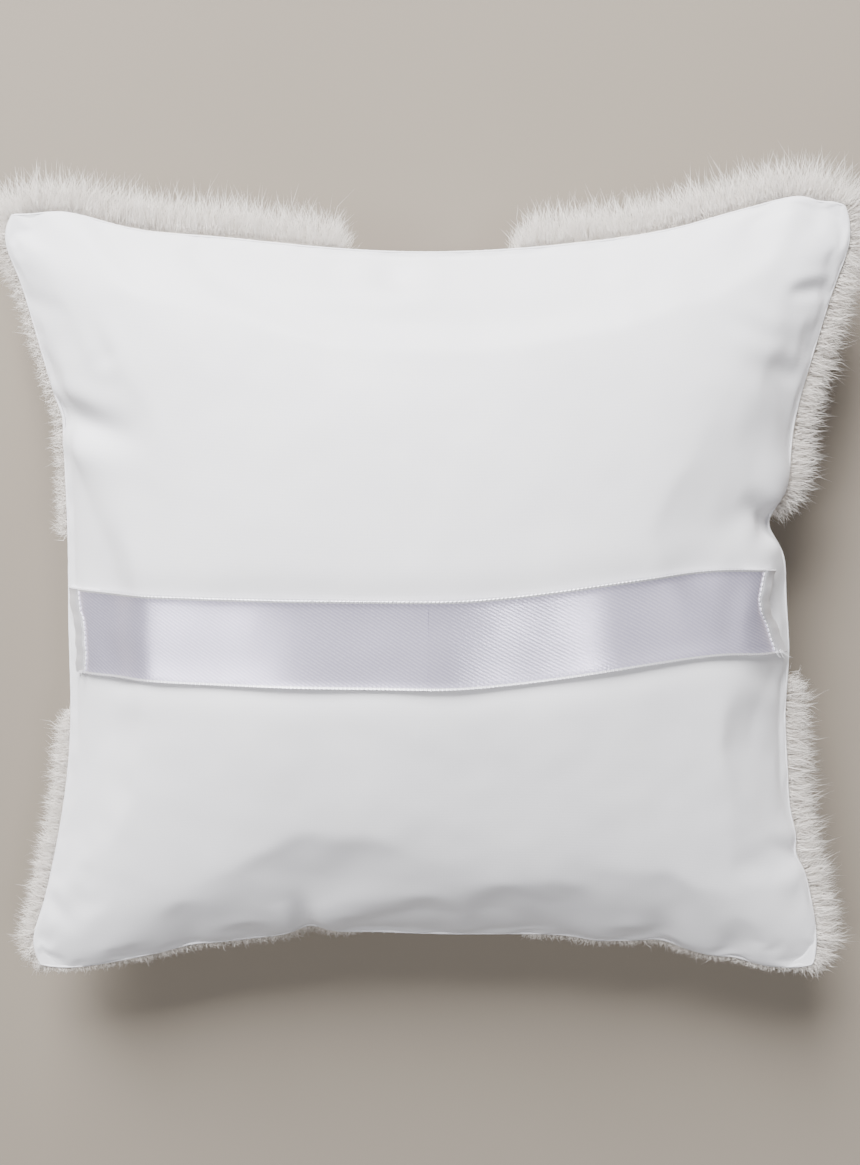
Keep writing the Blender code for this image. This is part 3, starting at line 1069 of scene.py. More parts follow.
@dataclass
class HandStrap:
    """The satin ribbon across the back, in two halves that meet in the middle."""

    finishes: Finishes
    line: StrapLine
    ribbon: Ribbon = field(default_factory=Ribbon)
    clearance: float = 1.25 * MM
    station: float = 0.22 * MM
    columns: int = 13
    fold: float = 0.42 * MM  # the radius of the folded end
    tuck: float = 9 * MM
    stitch_place: float = 3.0 * MM  # from the fold to the stitches
    stitch_length: float = 1.35 * MM
    lift_from: float = 0.088  # the X at which the sewn end stays still
    lift_to: float = 0.032  # the X from which it lifts in full
    ray_from: float = 0.2  # the height that the strap is laid down from
    seam_level: float = 0.03
    settle: float = 17 * MM  # how soon the strap is straight after its sewn end
    wave: float = 0.22 * MM
    wave_length: float = 41 * MM
    gather: float = 0.28 * MM  # the depth of the small gathers at the fold
    gather_width: float = 5.2 * MM
    groove: float = 0.3 * MM  # how far the stitches pull the ribbon down
    fray_count: int = 7
    fray_radius: float = 0.07 * MM
    ends: tuple[StrapEnd, StrapEnd] = (
        StrapEnd(-1, 93.3 * MM, steps=(0.2, -0.3, -0.1, 0.1, 1.6, 2.2), thread=0.32 * MM),
        StrapEnd(1, 90.3 * MM, steps=(4.2, 2.6, 1.2, -1.1, -1.9, -1.1, -0.3), thread=0.38 * MM),
    )

    def sheet(self, end: StrapEnd, tree: BVHTree) -> tuple[Array, Array, Array, Array]:
        """The upper run of one half.

        Args:
            end: The end that the half is sewn down by.
            tree: The satin back, to lay the strap on.

        Returns:
            The points from the fold to the middle, their directions out, the run and the places across.
        """
        run = np.linspace(0, end.reach, int(end.reach / self.station) + 1)
        across = self.ribbon.across(self.line.width, self.columns)
        settle = 1 - smooth(run / self.settle)
        out = end.reach - run[:, None] + end.shift(across, 2 * across[-1])[None] * settle[:, None]
        x = end.way * out
        y = self.line.middle(x) + across[None] * np.ones_like(x)
        hits = np.empty((*x.shape, 3))
        ways = np.empty_like(hits)
        for i in range(x.shape[0]):
            for j in range(x.shape[1]):
                found = tree.ray_cast(Vector((x[i, j], y[i, j], self.ray_from)), Vector(DOWN))
                if found[0] is None:
                    found = tree.find_nearest(Vector((x[i, j], y[i, j], self.seam_level)))
                hits[i, j], ways[i, j] = found[:2]
        ways = unit(blur(ways, 8))
        lifted = blur(hits + ways * self.clearance, 12)
        waves = self.wave * np.sin(x * 2 * math.pi / self.wave_length + 0.6)
        lifted[..., 2] += waves * smooth(run / (20 * MM))[:, None]
        pucker = np.sin(across * 2 * math.pi / self.gather_width + 0.7 * end.way)[None]
        pucker = pucker * bell(run - 0.8 * MM, 1.6 * MM)[:, None]
        lifted += ways * (self.gather * pucker)[..., None]
        groove = bell(run - self.stitch_place, 0.55 * MM)[:, None]
        lifted -= ways * (self.groove * groove)[..., None]
        return lifted, ways, run, across

    def half(self, end: StrapEnd, tree: BVHTree, name: str) -> tuple[Mesh, Array, Array]:
        """One half with its folded end.

        Args:
            end: The end that it is sewn down by.
            tree: The satin back.
            name: The mesh's name.

        Returns:
            The mesh, and the points and directions of its line of stitches.
        """
        upper, ways, run, across = self.sheet(end, tree)
        inward = unit(upper[1] - upper[0])
        centre = upper[0] - ways[0] * self.fold
        turn = [
            centre + (ways[0] * math.cos(angle) - inward * math.sin(angle)) * self.fold
            for angle in (math.pi * step / 6 for step in range(1, 6))
        ]
        under = slice(0, int(self.tuck / self.station), 2)
        tucked = upper[under] - ways[under] * 2 * self.fold
        whole = np.concatenate([tucked[::-1], turn[::-1], upper])
        along = distances(whole[:, self.columns // 2])
        along -= along[-1]
        mesh = self.ribbon.mesh(name, whole, along * end.way * -1.0, across)
        row = int(self.stitch_place / self.station)
        self.paint_hem_highlight(mesh, len(whole), len(whole) - len(upper) + row)
        return mesh, upper[row], ways[row]

    def paint_hem_highlight(self, mesh: Mesh, stations: int, last: int) -> None:
        """Gives the folded hem outside the stitches the whiter edge finish, a painted highlight, as the hem is
        the ribbon's own face.

        Args:
            mesh: One half of the strap.
            stations: How many stations it has.
            last: The station of the stitches.
        """
        ring = 2 * (self.columns + self.ribbon.facets)
        kinds = np.empty(len(mesh.polygons), np.int32)
        mesh.polygons.foreach_get("material_index", kinds)
        station = np.arange(len(kinds)) // ring
        # The hem's faces take the whiter finish as a painted highlight.
        kinds[(station < last - 1) & (station < stations - 1)] = 1
        mesh.polygons.foreach_set("material_index", kinds)

    def build(self, back: Piece) -> list[Piece]:
        """Makes the strap, its stitches and its frayed ends.

        Args:
            back: The satin back, which it lies on.

        Returns:
            The pieces.
        """
        faces = [tuple(face.vertices) for face in back.data.polygons]
        tree = BVHTree.FromPolygons([v.co for v in back.data.vertices], faces)
        made = []
        for end, word in zip(self.ends, ("left", "right")):
            shape, row, ways = self.half(end, tree, f"hand_strap_{word}_half")
            nodes = [f"hand_strap_{word}_span", f"strap_tuck_{word}"]
            if end.way < 0:
                nodes.append("hand_strap_middle")
            woven = [self.finishes.ribbon, self.finishes.selvedge]
            piece = place_piece(shape.name, shape, woven, "satin_ribbon", *nodes, rides=False)
            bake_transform(piece)
            stitches = self.stitches(end, row, ways, word)
            frays = self.frays(end, row, ways, word)
            sewn_on = [stitches, frays]
            made += [piece, *sewn_on]
        return made

    def stitches(self, end: StrapEnd, row: Array, ways: Array, word: str) -> Piece:
        """The line of stitches across one end.

        Args:
            end: The end.
            row: Points on the upper face, across the strap where its stitches are.
            ways: The directions out of the strap at them.
            word: Which end it is.

        Returns:
            The stitches.
        """
        along = distances(row)
        count = int(along[-1] / self.stitch_length)
        centres = (np.arange(count) + 0.5) * along[-1] / count
        here = between(centres, along, row)
        up = unit(between(centres, along, ways))
        heading = unit(between(centres + 0.3 * MM, along, row) - here)
        here = here + up * (self.ribbon.thick / 2 + end.thread * 0.22)
        mesh = stitch_row(f"strap_stitches_{word}", here, heading, up, along[-1] / count * 0.97, end.thread)
        return place_piece(mesh.name, mesh, [self.finishes.thread], "thread", f"strap_stitch_{word}")

    def frays(self, end: StrapEnd, row: Array, ways: Array, word: str) -> Piece:
        """A few loose thread ends at the near corner of one end.

        Args:
            end: The end.
            row: Points on the upper face, across the strap where its stitches are.
            ways: The directions out of the strap at them.
            word: Which end it is.

        Returns:
            The thread ends.
        """
        rng = np.random.default_rng(11 + end.way)
        corner = row[0] + ways[0] * self.ribbon.thick
        outwards = np.array([end.way, 0.0, 0.0])
        count = self.fray_count
        roots = corner + rng.normal(0, 0.35 * MM, (count, 3)) * [1, 1, 0.2] + outwards * 1.0 * MM
        aims = unit(outwards * 0.5 + np.array([0, -0.9, 0.1]) + rng.normal(0, 0.35, (count, 3)))
        bends = rng.normal(0, 0.3, (count, 3))
        lengths = rng.uniform(1.6, 3.4, count) * MM
        name = f"frayed_ends_{word}"
        mesh = strand_mesh(name, roots, aims, lengths, bends, self.fray_radius, 5, rng, 0.05 * MM)
        return place_piece(name, mesh, [self.finishes.thread], "thread")


# ---------------------------------------------------------------- threads and stitches


def stitch_shape() -> tuple[Array, Array, Array]:
    """One stitch, a unit long along X: a thread that dips into the cloth at both ends.

    Returns:
        Its vertices, its quads and its triangles.
    """
    bpy.ops.object.select_all(action="DESELECT")
    bpy.ops.mesh.primitive_uv_sphere_add(segments=6, ring_count=8, radius=0.5, rotation=(0, math.pi / 2, 0))
    piece = bpy.context.active_object
    bpy.ops.object.transform_apply(location=False, rotation=True, scale=False)
    mesh = piece.data
    points = points_of(mesh)
    points[:, 2] -= 0.35 * np.abs(points[:, 0] * 2) ** 3
    faces = [tuple(p.vertices) for p in mesh.polygons]
    bpy.data.objects.remove(piece)
    quads = np.array([f for f in faces if len(f) == 4])
    triangles = np.array([f for f in faces if len(f) == 3])
    return points, quads, triangles


def stitch_row(name: str, centres: Array, headings: Array, ups: Array, length: float, thick: float) -> Mesh:
    """A row of stitches, modelled once and copied.

    Args:
        name: The mesh's name.
        centres: Where the stitches are.
        headings: The direction that each runs in.
        ups: The direction out of the cloth at each.
        length: The length of one.
        thick: The thread's thickness.

    Returns:
        The mesh.
    """
    points, quads, triangles = stitch_shape()
    sides = unit(np.cross(ups, headings))
    ups = np.cross(headings, sides)
    scaled = points * [length, thick, thick]
    placed = (
        centres[:, None]
        + scaled[None, :, :1] * headings[:, None]
        + scaled[None, :, 1:2] * sides[:, None]
        + scaled[None, :, 2:] * ups[:, None]
    )
    return repeated_mesh(name, placed, quads, triangles)


def strand_mesh(
    name: str,
    roots: Array,
    aims: Array,
    lengths: Array,
    bends: Array,
    radius: float,
    segments: int,
    rng: np.random.Generator,
    curl: float,
    waves: tuple[float, float] = (0.6, 1.3),
) -> Mesh:
    """Many fine, tapering, three-sided strands.

    Args:
        name: The mesh's name.
        roots: Where they start.
        aims: The directions that they start in.
        lengths: Their lengths.
        bends: What is added to each direction along its length.
        radius: Their radius at the root.
        segments: How many lengths each is drawn with.
        rng: What draws the strands' differences.
        curl: How far they wave to either side.
        waves: The fewest and the most waves that one has.

    Returns:
        The mesh, closed round every strand.
    """
    count = len(roots)
    other = rng.normal(size=(count, 3))
    first = unit(np.cross(aims, other))
    second = np.cross(aims, first)
    steps = np.linspace(0, 1, segments + 1)
    phase = rng.uniform(0, 2 * math.pi, (count, 1))
    turns = rng.uniform(*waves, (count, 1))
    sizes = radius * rng.uniform(0.75, 1.25, (count, 1))
    rings = []
    for t in steps:
        middle = roots + (aims * t + bends * t * t) * lengths[:, None]
        wave = curl * (np.sin(2 * math.pi * turns * t + phase) - np.sin(phase)) * (0.3 + 0.7 * t)
        middle = middle + first * wave + second * (0.6 * wave * np.cos(phase))
        if t == 1:
            rings.append(middle[:, None])
            break
        size = sizes * (1 - 0.55 * t)
        for k in range(3):
            angle = 2 * math.pi * k / 3
            spoke = first * math.cos(angle) + second * math.sin(angle)
            rings.append((middle + spoke * size)[:, None])
    points = np.concatenate(rings, axis=1)
    quads = [
        (3 * s + k, 3 * s + (k + 1) % 3, 3 * s + 3 + (k + 1) % 3, 3 * s + 3 + k)
        for s in range(segments - 1)
        for k in range(3)
    ]
    last = 3 * (segments - 1)
    triangles = [(last + k, last + (k + 1) % 3, last + 3) for k in range(3)] + [(0, 2, 1)]
    return repeated_mesh(name, points, np.array(quads).reshape(-1, 4), np.array(triangles))


# ---------------------------------------------------------------- the fur front


@dataclass
class SashLines:
    """Where the two sashes cross the fur front, seen from above, and how wide the fur is parted for them."""

    parting: float = 23.0 * MM  # half the parting's width
    crosswise_middle: float = -3.6 * MM
    crosswise_rise: float = 4.6 * MM  # from its middle to its right end
    lengthwise_middle: float = 2.0 * MM
    lengthwise_rise: float = -1.4 * MM  # from its middle to its far end

    def crosswise(self, x: Array) -> Array:
        """The Y of the crosswise sash's middle line."""
        return self.crosswise_middle + self.crosswise_rise * x / 0.096

    def lengthwise(self, y: Array) -> Array:
        """The X of the lengthwise sash's middle line."""
        return self.lengthwise_middle + self.lengthwise_rise * y / 0.092

    def clear(self, x: Array, y: Array, quarter: Quarter) -> Array:
        """How far inside its quarter each place is, in metres, or outside where negative.

        Args:
            x: The places' X.
            y: The places' Y.
            quarter: The quarter.

        Returns:
            The distances.
        """
        sign_x, sign_y = quarter.value
        beside = sign_x * (x - self.lengthwise(y)) - self.parting
        below = sign_y * (y - self.crosswise(x)) - self.parting
        return np.minimum(beside, below)


@dataclass
class FurFront:
    """The fur front: its knitted ground, and in each quarter a dense under fur, two fringes and a field."""

    finishes: Finishes
    shape: PillowShape
    lines: SashLines
    ground: float = 1.2 * MM
    pile: float = 11 * MM
    fringe_strands: int = 7000  # along one side of a quarter
    near_strands: int = 4800  # along a near side, where the fringe is short
    field_strands: int = 7500
    fringe_radius: float = 0.062 * MM
    field_radius: float = 0.13 * MM
    fringe_band: float = 0.085  # share of the half width that the fringe grows from
    curl: float = 1.05 * MM
    blunt: float = 4.5 * MM  # how soon the fringe is full length beside a parting
    far_left: float = 0.66  # the fringe is pressed shorter on the far half of the left side
    bed_margin: float = 1.5 * MM  # from a parting to the under fur
    bed_cells: int = 45
    bed_share: float = 0.42  # of the pile that the under fur fills
    fringe_tuft: int = 34  # strands in a tuft
    field_tuft: int = 20
    stray: float = 0.22  # how far single strands lean out of their tuft
    reaches: dict[Side, float] = field(
        default_factory=lambda: {Side.LEFT: 0.52, Side.RIGHT: 0.78, Side.NEAR: 0.20, Side.FAR: 0.95}
    )

    def build_ground(self) -> Piece:
        """The knitted cloth that the pile grows from.

        Returns:
            The cloth.
        """
        shares = crowded(72)
        u, v = np.meshgrid(shares, shares, indexing="ij")
        outer = self.shape.front(u, v)
        inner = outer - self.shape.front_out(u, v) * self.ground
        inner[..., 2] = np.minimum(inner[..., 2], self.shape.seam_z - self.shape.seam_gap / 2)
        points, quads = closed_sheet(inner, outer)
        mesh = quad_mesh("fur_ground_cloth", points, quads)
        faces_out(mesh)
        piece = place_piece(mesh.name, mesh, [self.finishes.knit], "backing_knit", "fur_backing")
        return piece

    def build_under_fur(self, quarter: Quarter, word: str) -> Piece:
        """The dense, uneven bed that the strands stand in, its colour painted darker as the shade deep in the
        pile.

        Args:
            quarter: The quarter that it fills.
            word: The quarter's name.

        Returns:
            The bed.
        """
        sign_x, sign_y = quarter.value
        across = self.lines.parting + self.bed_margin
        start_u, start_v = across / (self.shape.waist_width / 2), across / (self.shape.waist_depth / 2)
        starts = (math.asin(start_u), math.asin(start_v))
        rows, columns = (np.sin(np.linspace(start, math.pi / 2, self.bed_cells + 1)) for start in starts)
        u, v = np.meshgrid(rows * sign_x, columns * sign_y, indexing="ij")
        ground = self.shape.front(u, v)
        out = self.shape.front_out(u, v)
        inner = ground + out * 0.3 * MM
        flat = ground.reshape(-1, 3)
        lumps = (wander(flat, 3.2 * MM, 5.0) + 0.6 * wander(flat, 1.4 * MM, 9.0)).reshape(u.shape)
        inside = np.minimum(np.abs(u) - start_u, np.abs(v) - start_v)
        depth = self.pile * self.bed_share * (0.35 + 0.65 * smooth(inside / 0.08)) * (1 + 0.32 * lumps)
        rim = np.maximum(np.abs(u), np.abs(v))
        depth *= 0.12 + 0.88 * smooth((1 - rim) / 0.05)
        outer = ground + out * depth[..., None]
        points, quads = closed_sheet(outer, inner)
        mesh = quad_mesh(f"under_fur_{word}", points, quads)
        faces_out(mesh)
        return place_piece(mesh.name, mesh, [self.finishes.under_fur], "fur", f"fur_pile_{word}")

    def reach_at(self, y: Array, out: Array) -> Array:
        """How long the fringe is at places.

        Args:
            y: The places' Y.
            out: The level directions out of the seam there.

        Returns:
            Its length as a share of the pile.
        """
        pressed = (1 - self.far_left) * smooth(y / (30 * MM)) * smooth((95 * MM - y) / (20 * MM))
        left = self.reaches[Side.LEFT] * (1 - pressed)
        sideways = np.where(out[:, 0] < 0, left, self.reaches[Side.RIGHT])
        lengthways = np.where(out[:, 1] < 0, self.reaches[Side.NEAR], self.reaches[Side.FAR])
        share = out[:, 0] ** 2 / np.maximum(out[:, 0] ** 2 + out[:, 1] ** 2, 1e-9)
        return share * sideways + (1 - share) * lengthways

    def tufts(self, rng: np.random.Generator, u: Array, v: Array, every: int) -> Array:
        """Gives each strand a tuft: the number of the strand that its tuft gathers round.

        Args:
            rng: What draws the tufts' middles.
            u: The strands' shares of the width.
            v: The strands' shares of the depth.
            every: How many strands a tuft has.

        Returns:
            For each strand, the number of its tuft's middle strand.
        """
        count = len(u)
        chosen = rng.choice(count, max(1, count // every), replace=False)
        places = np.stack([u, v], axis=1)
        tree = KDTree(len(chosen))
        for number in chosen:
            tree.insert((*places[number], 0.0), int(number))
        tree.balance()
        return np.array([tree.find((a, b, 0.0))[1] for a, b in places])

    def build_fringe(self, quarter: Quarter, on_side: bool, word: str, seed: int) -> Piece:
        """The fur that stands out past the seam along one side of a quarter.

        Args:
            quarter: The quarter that it belongs to.
            on_side: Whether it is along the left or right seam, not the near or far one.
            word: The quarter's name.
            seed: Which strands are drawn.

        Returns:
            The fringe.
        """
        rng = np.random.default_rng(seed)
        strands = self.fringe_strands if on_side or quarter.value[1] > 0 else self.near_strands
        draws = strands * 2
        along = rng.uniform(0.17, 1, draws)
        inset = self.fringe_band * rng.uniform(0, 1, draws) ** 2.2
        edge, beside = 1 - inset, np.minimum(along, 1 - 0.5 * inset)
        u = quarter.value[0] * (edge if on_side else beside)
        v = quarter.value[1] * (beside if on_side else edge)
        ground = self.shape.front(u, v)
        clear = self.lines.clear(ground[:, 0], ground[:, 1], quarter)
        keep = np.flatnonzero(clear > 0)[:strands]
        u, v, ground, inset, clear = u[keep], v[keep], ground[keep], inset[keep], clear[keep]
        out = self.shape.front_out(u, v)
        level = unit(out * [1, 1, 0])
        tuft = self.tufts(rng, u, v, self.fringe_tuft)
        share = 1 - inset / self.fringe_band
        lean = rng.normal(0, 0.05, (len(u), 3))[tuft] + rng.normal(0, self.stray, (len(u), 3))
        drift = np.cross(level, UP) * (0.3 * wander(ground, 11 * MM, seed))[:, None]
        lift = UP * (share * rng.uniform(-0.35, 0.6, len(u)))[:, None]
        inwards = np.array([-quarter.value[0], 0, 0] if not on_side else [0, -quarter.value[1], 0], float)
        spill = inwards * (0.3 * bell(clear, self.blunt) * rng.uniform(0, 1, len(u)))[:, None]
        aims = unit(out * 0.4 + level * (0.35 + 0.6 * share)[:, None] + lift + lean + drift + spill)
        lengths = self.pile * self.reach_at(ground[:, 1], level)
        lengths *= 1 + 0.10 * wander(ground, 7 * MM, seed + 0.5)
        lengths *= (1 + 0.04 * rng.normal(size=len(u)))[tuft] * rng.uniform(0.84, 1.03, len(u))
        lengths *= 0.6 + 0.4 * smooth(clear / self.blunt)
        lengths *= np.where(rng.uniform(size=len(u)) < 0.025, 1.12, 1.0)
        middle = ground[tuft] + aims[tuft] * lengths[tuft][:, None]
        towards = (middle - (ground + aims * lengths[:, None])) / lengths[:, None]
        bends = 0.06 * towards + 0.16 * DOWN + rng.normal(0, 0.22, (len(u), 3))
        roots = ground + out * 0.1 * MM
        name = f"fur_fringe_{word}_{'side' if on_side else 'end'}"
        mesh = strand_mesh(
            name, roots, aims, lengths, bends, self.fringe_radius, 4, rng, self.curl, (0.8, 1.6)
        )
        return place_piece(name, mesh, [self.finishes.fur], "fur")

    def build_field(self, quarter: Quarter, word: str, seed: int) -> Piece:
        """The fur under the pillow, leant over by its weight.

        Args:
            quarter: The quarter that it fills.
            word: The quarter's name.
            seed: Which strands are drawn.

        Returns:
            The field.
        """
        rng = np.random.default_rng(seed)
        draws = self.field_strands * 2
        u, v = (sign * rng.uniform(0.2, 1 - self.fringe_band * 0.6, draws) for sign in quarter.value)
        ground = self.shape.front(u, v)
        keep = np.flatnonzero(self.lines.clear(ground[:, 0], ground[:, 1], quarter) > 0)[: self.field_strands]
        u, v, ground = u[keep], v[keep], ground[keep]
        out = self.shape.front_out(u, v)
        tuft = self.tufts(rng, u, v, self.field_tuft)
        lengths = self.pile * rng.uniform(0.8, 1.1, len(u))
        room = np.clip((ground[:, 2] - 0.8 * MM) / lengths, 0.2, 0.97)
        turn = 2.6 * wander(ground, 22 * MM, seed)
        turn = turn + rng.normal(0, 0.5, len(u))[tuft] + rng.normal(0, 0.25, len(u))
        lean = np.stack([np.cos(turn), np.sin(turn), np.zeros(len(u))], axis=1)
        pressed = lean * np.sqrt(1 - room**2)[:, None] + DOWN * room[:, None]
        free = smooth((ground[:, 2] - 12 * MM) / (8 * MM))[:, None]
        aims = unit(pressed * (1 - free) + unit(out + 0.25 * lean) * free)
        towards = (ground[tuft] - ground) / lengths[:, None]
        bends = 0.4 * towards * [1, 1, 0]
        mesh = strand_mesh(
            f"fur_field_{word}", ground, aims, lengths, bends, self.field_radius, 2, rng, self.curl * 0.4
        )
        points = points_of(mesh)
        points[:, 2] = np.maximum(points[:, 2], 0.15 * MM)
        move_points(mesh, points)
        return place_piece(mesh.name, mesh, [self.finishes.fur], "fur")

    def build(self) -> list[Piece]:
        """Makes the whole front."""
        made = [self.build_ground()]
        for number, quarter in enumerate(Quarter):
            word = quarter.name.lower()
            made.append(self.build_under_fur(quarter, word))
            made.append(self.build_fringe(quarter, True, word, 101 + number))
            made.append(self.build_fringe(quarter, False, word, 111 + number))
            made.append(self.build_field(quarter, word, 201 + number))
        return made


# ---------------------------------------------------------------- the seam


@dataclass
class SeamEdge:
    """The rolled edge where the satin meets the ground cloth, its stitches and the hand-closed opening."""

    finishes: Finishes
    shape: PillowShape
    radius: float = 0.36 * MM
    station: float = 0.8 * MM
    sides: int = 8
    pitch: float = 2.6 * MM
    stitch: float = 1.7 * MM
    thread: float = 0.2 * MM
    closing: tuple[float, float] = (-57 * MM, -9 * MM)  # where the opening starts and ends on the near side
    closing_pitch: float = 3.0 * MM
    closing_stitch: float = 1.5 * MM

    def path(self) -> tuple[Array, Array]:
        """Points round the seam at even steps, and the level directions out of it.

        Returns:
            The points and the directions.
        """
        share = np.linspace(-1, 1, 900)[:-1]
        edge = np.ones_like(share)
        u = np.concatenate([share, edge, -share, -edge])
        v = np.concatenate([-edge, share, edge, -share])
        x, y = self.shape.plan(u, v)
        loop = np.stack([x, y, np.full_like(x, self.shape.seam_z - self.shape.seam_gap / 4)], axis=1)
        ring = np.concatenate([loop, loop[:1]])
        along = distances(ring)
        count = int(along[-1] / self.station)
        steps = np.arange(count) * along[-1] / count
        even = between(steps, along, ring)
        ahead = unit(np.roll(even, -1, axis=0) - np.roll(even, 1, axis=0))
        return even, np.cross(ahead, UP)

    def build_roll(self) -> Piece:
        """The rolled edge itself.

        Returns:
            The edge.
        """
        middle, out = self.path()
        angles = 2 * math.pi * np.arange(self.sides) / self.sides
        swell = self.radius * (1 + 0.16 * wander(middle, 2.4 * MM, 4.0))
        offsets = out[:, None] * np.cos(angles)[None, :, None] + UP * np.sin(angles)[None, :, None]
        ring = middle[:, None] + offsets * swell[:, None, None]
        ring = np.concatenate([ring, ring[:1]])
        quads = grid_quads(len(ring), self.sides, closed_rows=True)
        quads = np.where(quads >= len(middle) * self.sides, quads - len(middle) * self.sides, quads)
        mesh = quad_mesh("seam_roll", ring[:-1].reshape(-1, 3), quads)
        faces_out(mesh)
        along = np.repeat(np.arange(len(middle)) * self.station, self.sides)
        set_uv(mesh, np.stack([along, np.tile(angles * self.radius, len(middle))], axis=1))
        return place_piece("seam_roll", mesh, [self.finishes.satin], "matte_satin")

    def build_stitches(self) -> Piece:
        """The machine stitches, which show as small dashes in the seam's groove.

        Returns:
            The stitches.
        """
        middle, out = self.path()
        every = max(1, round(self.pitch / self.station))
        here = np.arange(0, len(middle) - 1, every)
        ahead = unit(middle[here + 1] - middle[here])
        down = unit(out[here] - 0.55 * UP)
        centres = middle[here] + down * self.radius
        mesh = stitch_row("seam_stitches", centres, ahead, down, self.stitch, self.thread)
        return place_piece("seam_stitches", mesh, [self.finishes.thread], "thread", "seam_thread")

    def build_closing(self) -> Piece:
        """The ladder of hand stitches that closes the opening.

        Returns:
            The stitches.
        """
        middle, out = self.path()
        first, last = self.closing
        near = (middle[:, 1] < 0) & (middle[:, 0] > first) & (middle[:, 0] < last)
        near &= np.abs(out[:, 1]) > 0.8
        here = np.flatnonzero(near)[:: max(1, round(self.closing_pitch / self.station))]
        ahead = unit(middle[here + 1] - middle[here])
        up = unit(out[here] + 0.9 * UP)
        across = unit(np.cross(ahead, up) + 0.35 * ahead)
        centres = middle[here] + up * self.radius
        mesh = stitch_row("closing_stitches", centres, across, up, self.closing_stitch, self.thread * 1.3)
        return place_piece("closing_stitches", mesh, [self.finishes.thread], "thread", "closing_stitch")

    def build(self) -> list[Piece]:
        """Makes the seam."""
        return [self.build_roll(), self.build_stitches(), self.build_closing()]


# ---------------------------------------------------------------- the sashes and the bow


@dataclass
class Sashes:
    """The two satin bands over the fur front, the crosswise one passing over the lengthwise one."""

    finishes: Finishes
    shape: PillowShape
    lines: SashLines
    width: float = 38 * MM
    stations: int = 420
    columns: int = 15
    gap: float = 0.45 * MM  # between the fur's ground and the lower band
    over: float = 0.75 * MM  # how much further off the upper band lies where they cross
    ramp: float = 8 * MM
    crowding: float = 1.45  # how much the stations crowd towards the seam
    ends: float = 0.992  # the share of the way to the seam that a band reaches
    ribbon: Ribbon = field(default_factory=lambda: Ribbon(0.4 * MM, 0.3 * MM, 1.35 * MM, 0.2))

    def build_one(self, lengthwise: bool) -> Piece:
        """One band.

        Args:
            lengthwise: Whether it runs along Y.

        Returns:
            The band.
        """
        shape = self.shape
        share = np.sin(np.linspace(-self.crowding, self.crowding, self.stations))
        share = share / math.sin(self.crowding) * self.ends
        across = self.ribbon.across(self.width, self.columns)
        along, aside = np.meshgrid(share, across, indexing="ij")
        if lengthwise:
            x = self.lines.lengthwise(along * shape.waist_depth / 2) + aside
            v = along
            u = x / shape.half(v, shape.waist_width, shape.corner_width)
        else:
            y = self.lines.crosswise(along * shape.waist_width / 2) + aside
            u = along
            v = y / shape.half(u, shape.waist_depth, shape.corner_depth)
        ground, out = shape.front(u, v), shape.front_out(u, v)
        lift = np.full(u.shape, self.gap)
        if not lengthwise:
            away = np.abs(ground[..., 0] - self.lines.lengthwise(ground[..., 1])) - self.width / 2 - 1 * MM
            lift += self.over * (1 - smooth(away / self.ramp))
        lift += 0.12 * MM * np.sin(along * 23.0 + aside * 60)
        sheet = ground + out * lift[..., None]
        run = distances(sheet[:, self.columns // 2])
        word = "lengthwise" if lengthwise else "crosswise"
        mesh = self.ribbon.mesh(f"satin_sash_{word}", sheet, run, across)
        woven = [self.finishes.ribbon, self.finishes.selvedge]
        piece = place_piece(mesh.name, mesh, woven, "satin_ribbon", f"sash_{word}")
        return piece

    def build(self) -> list[Piece]:
        """Makes both bands."""
        return [self.build_one(True), self.build_one(False)]


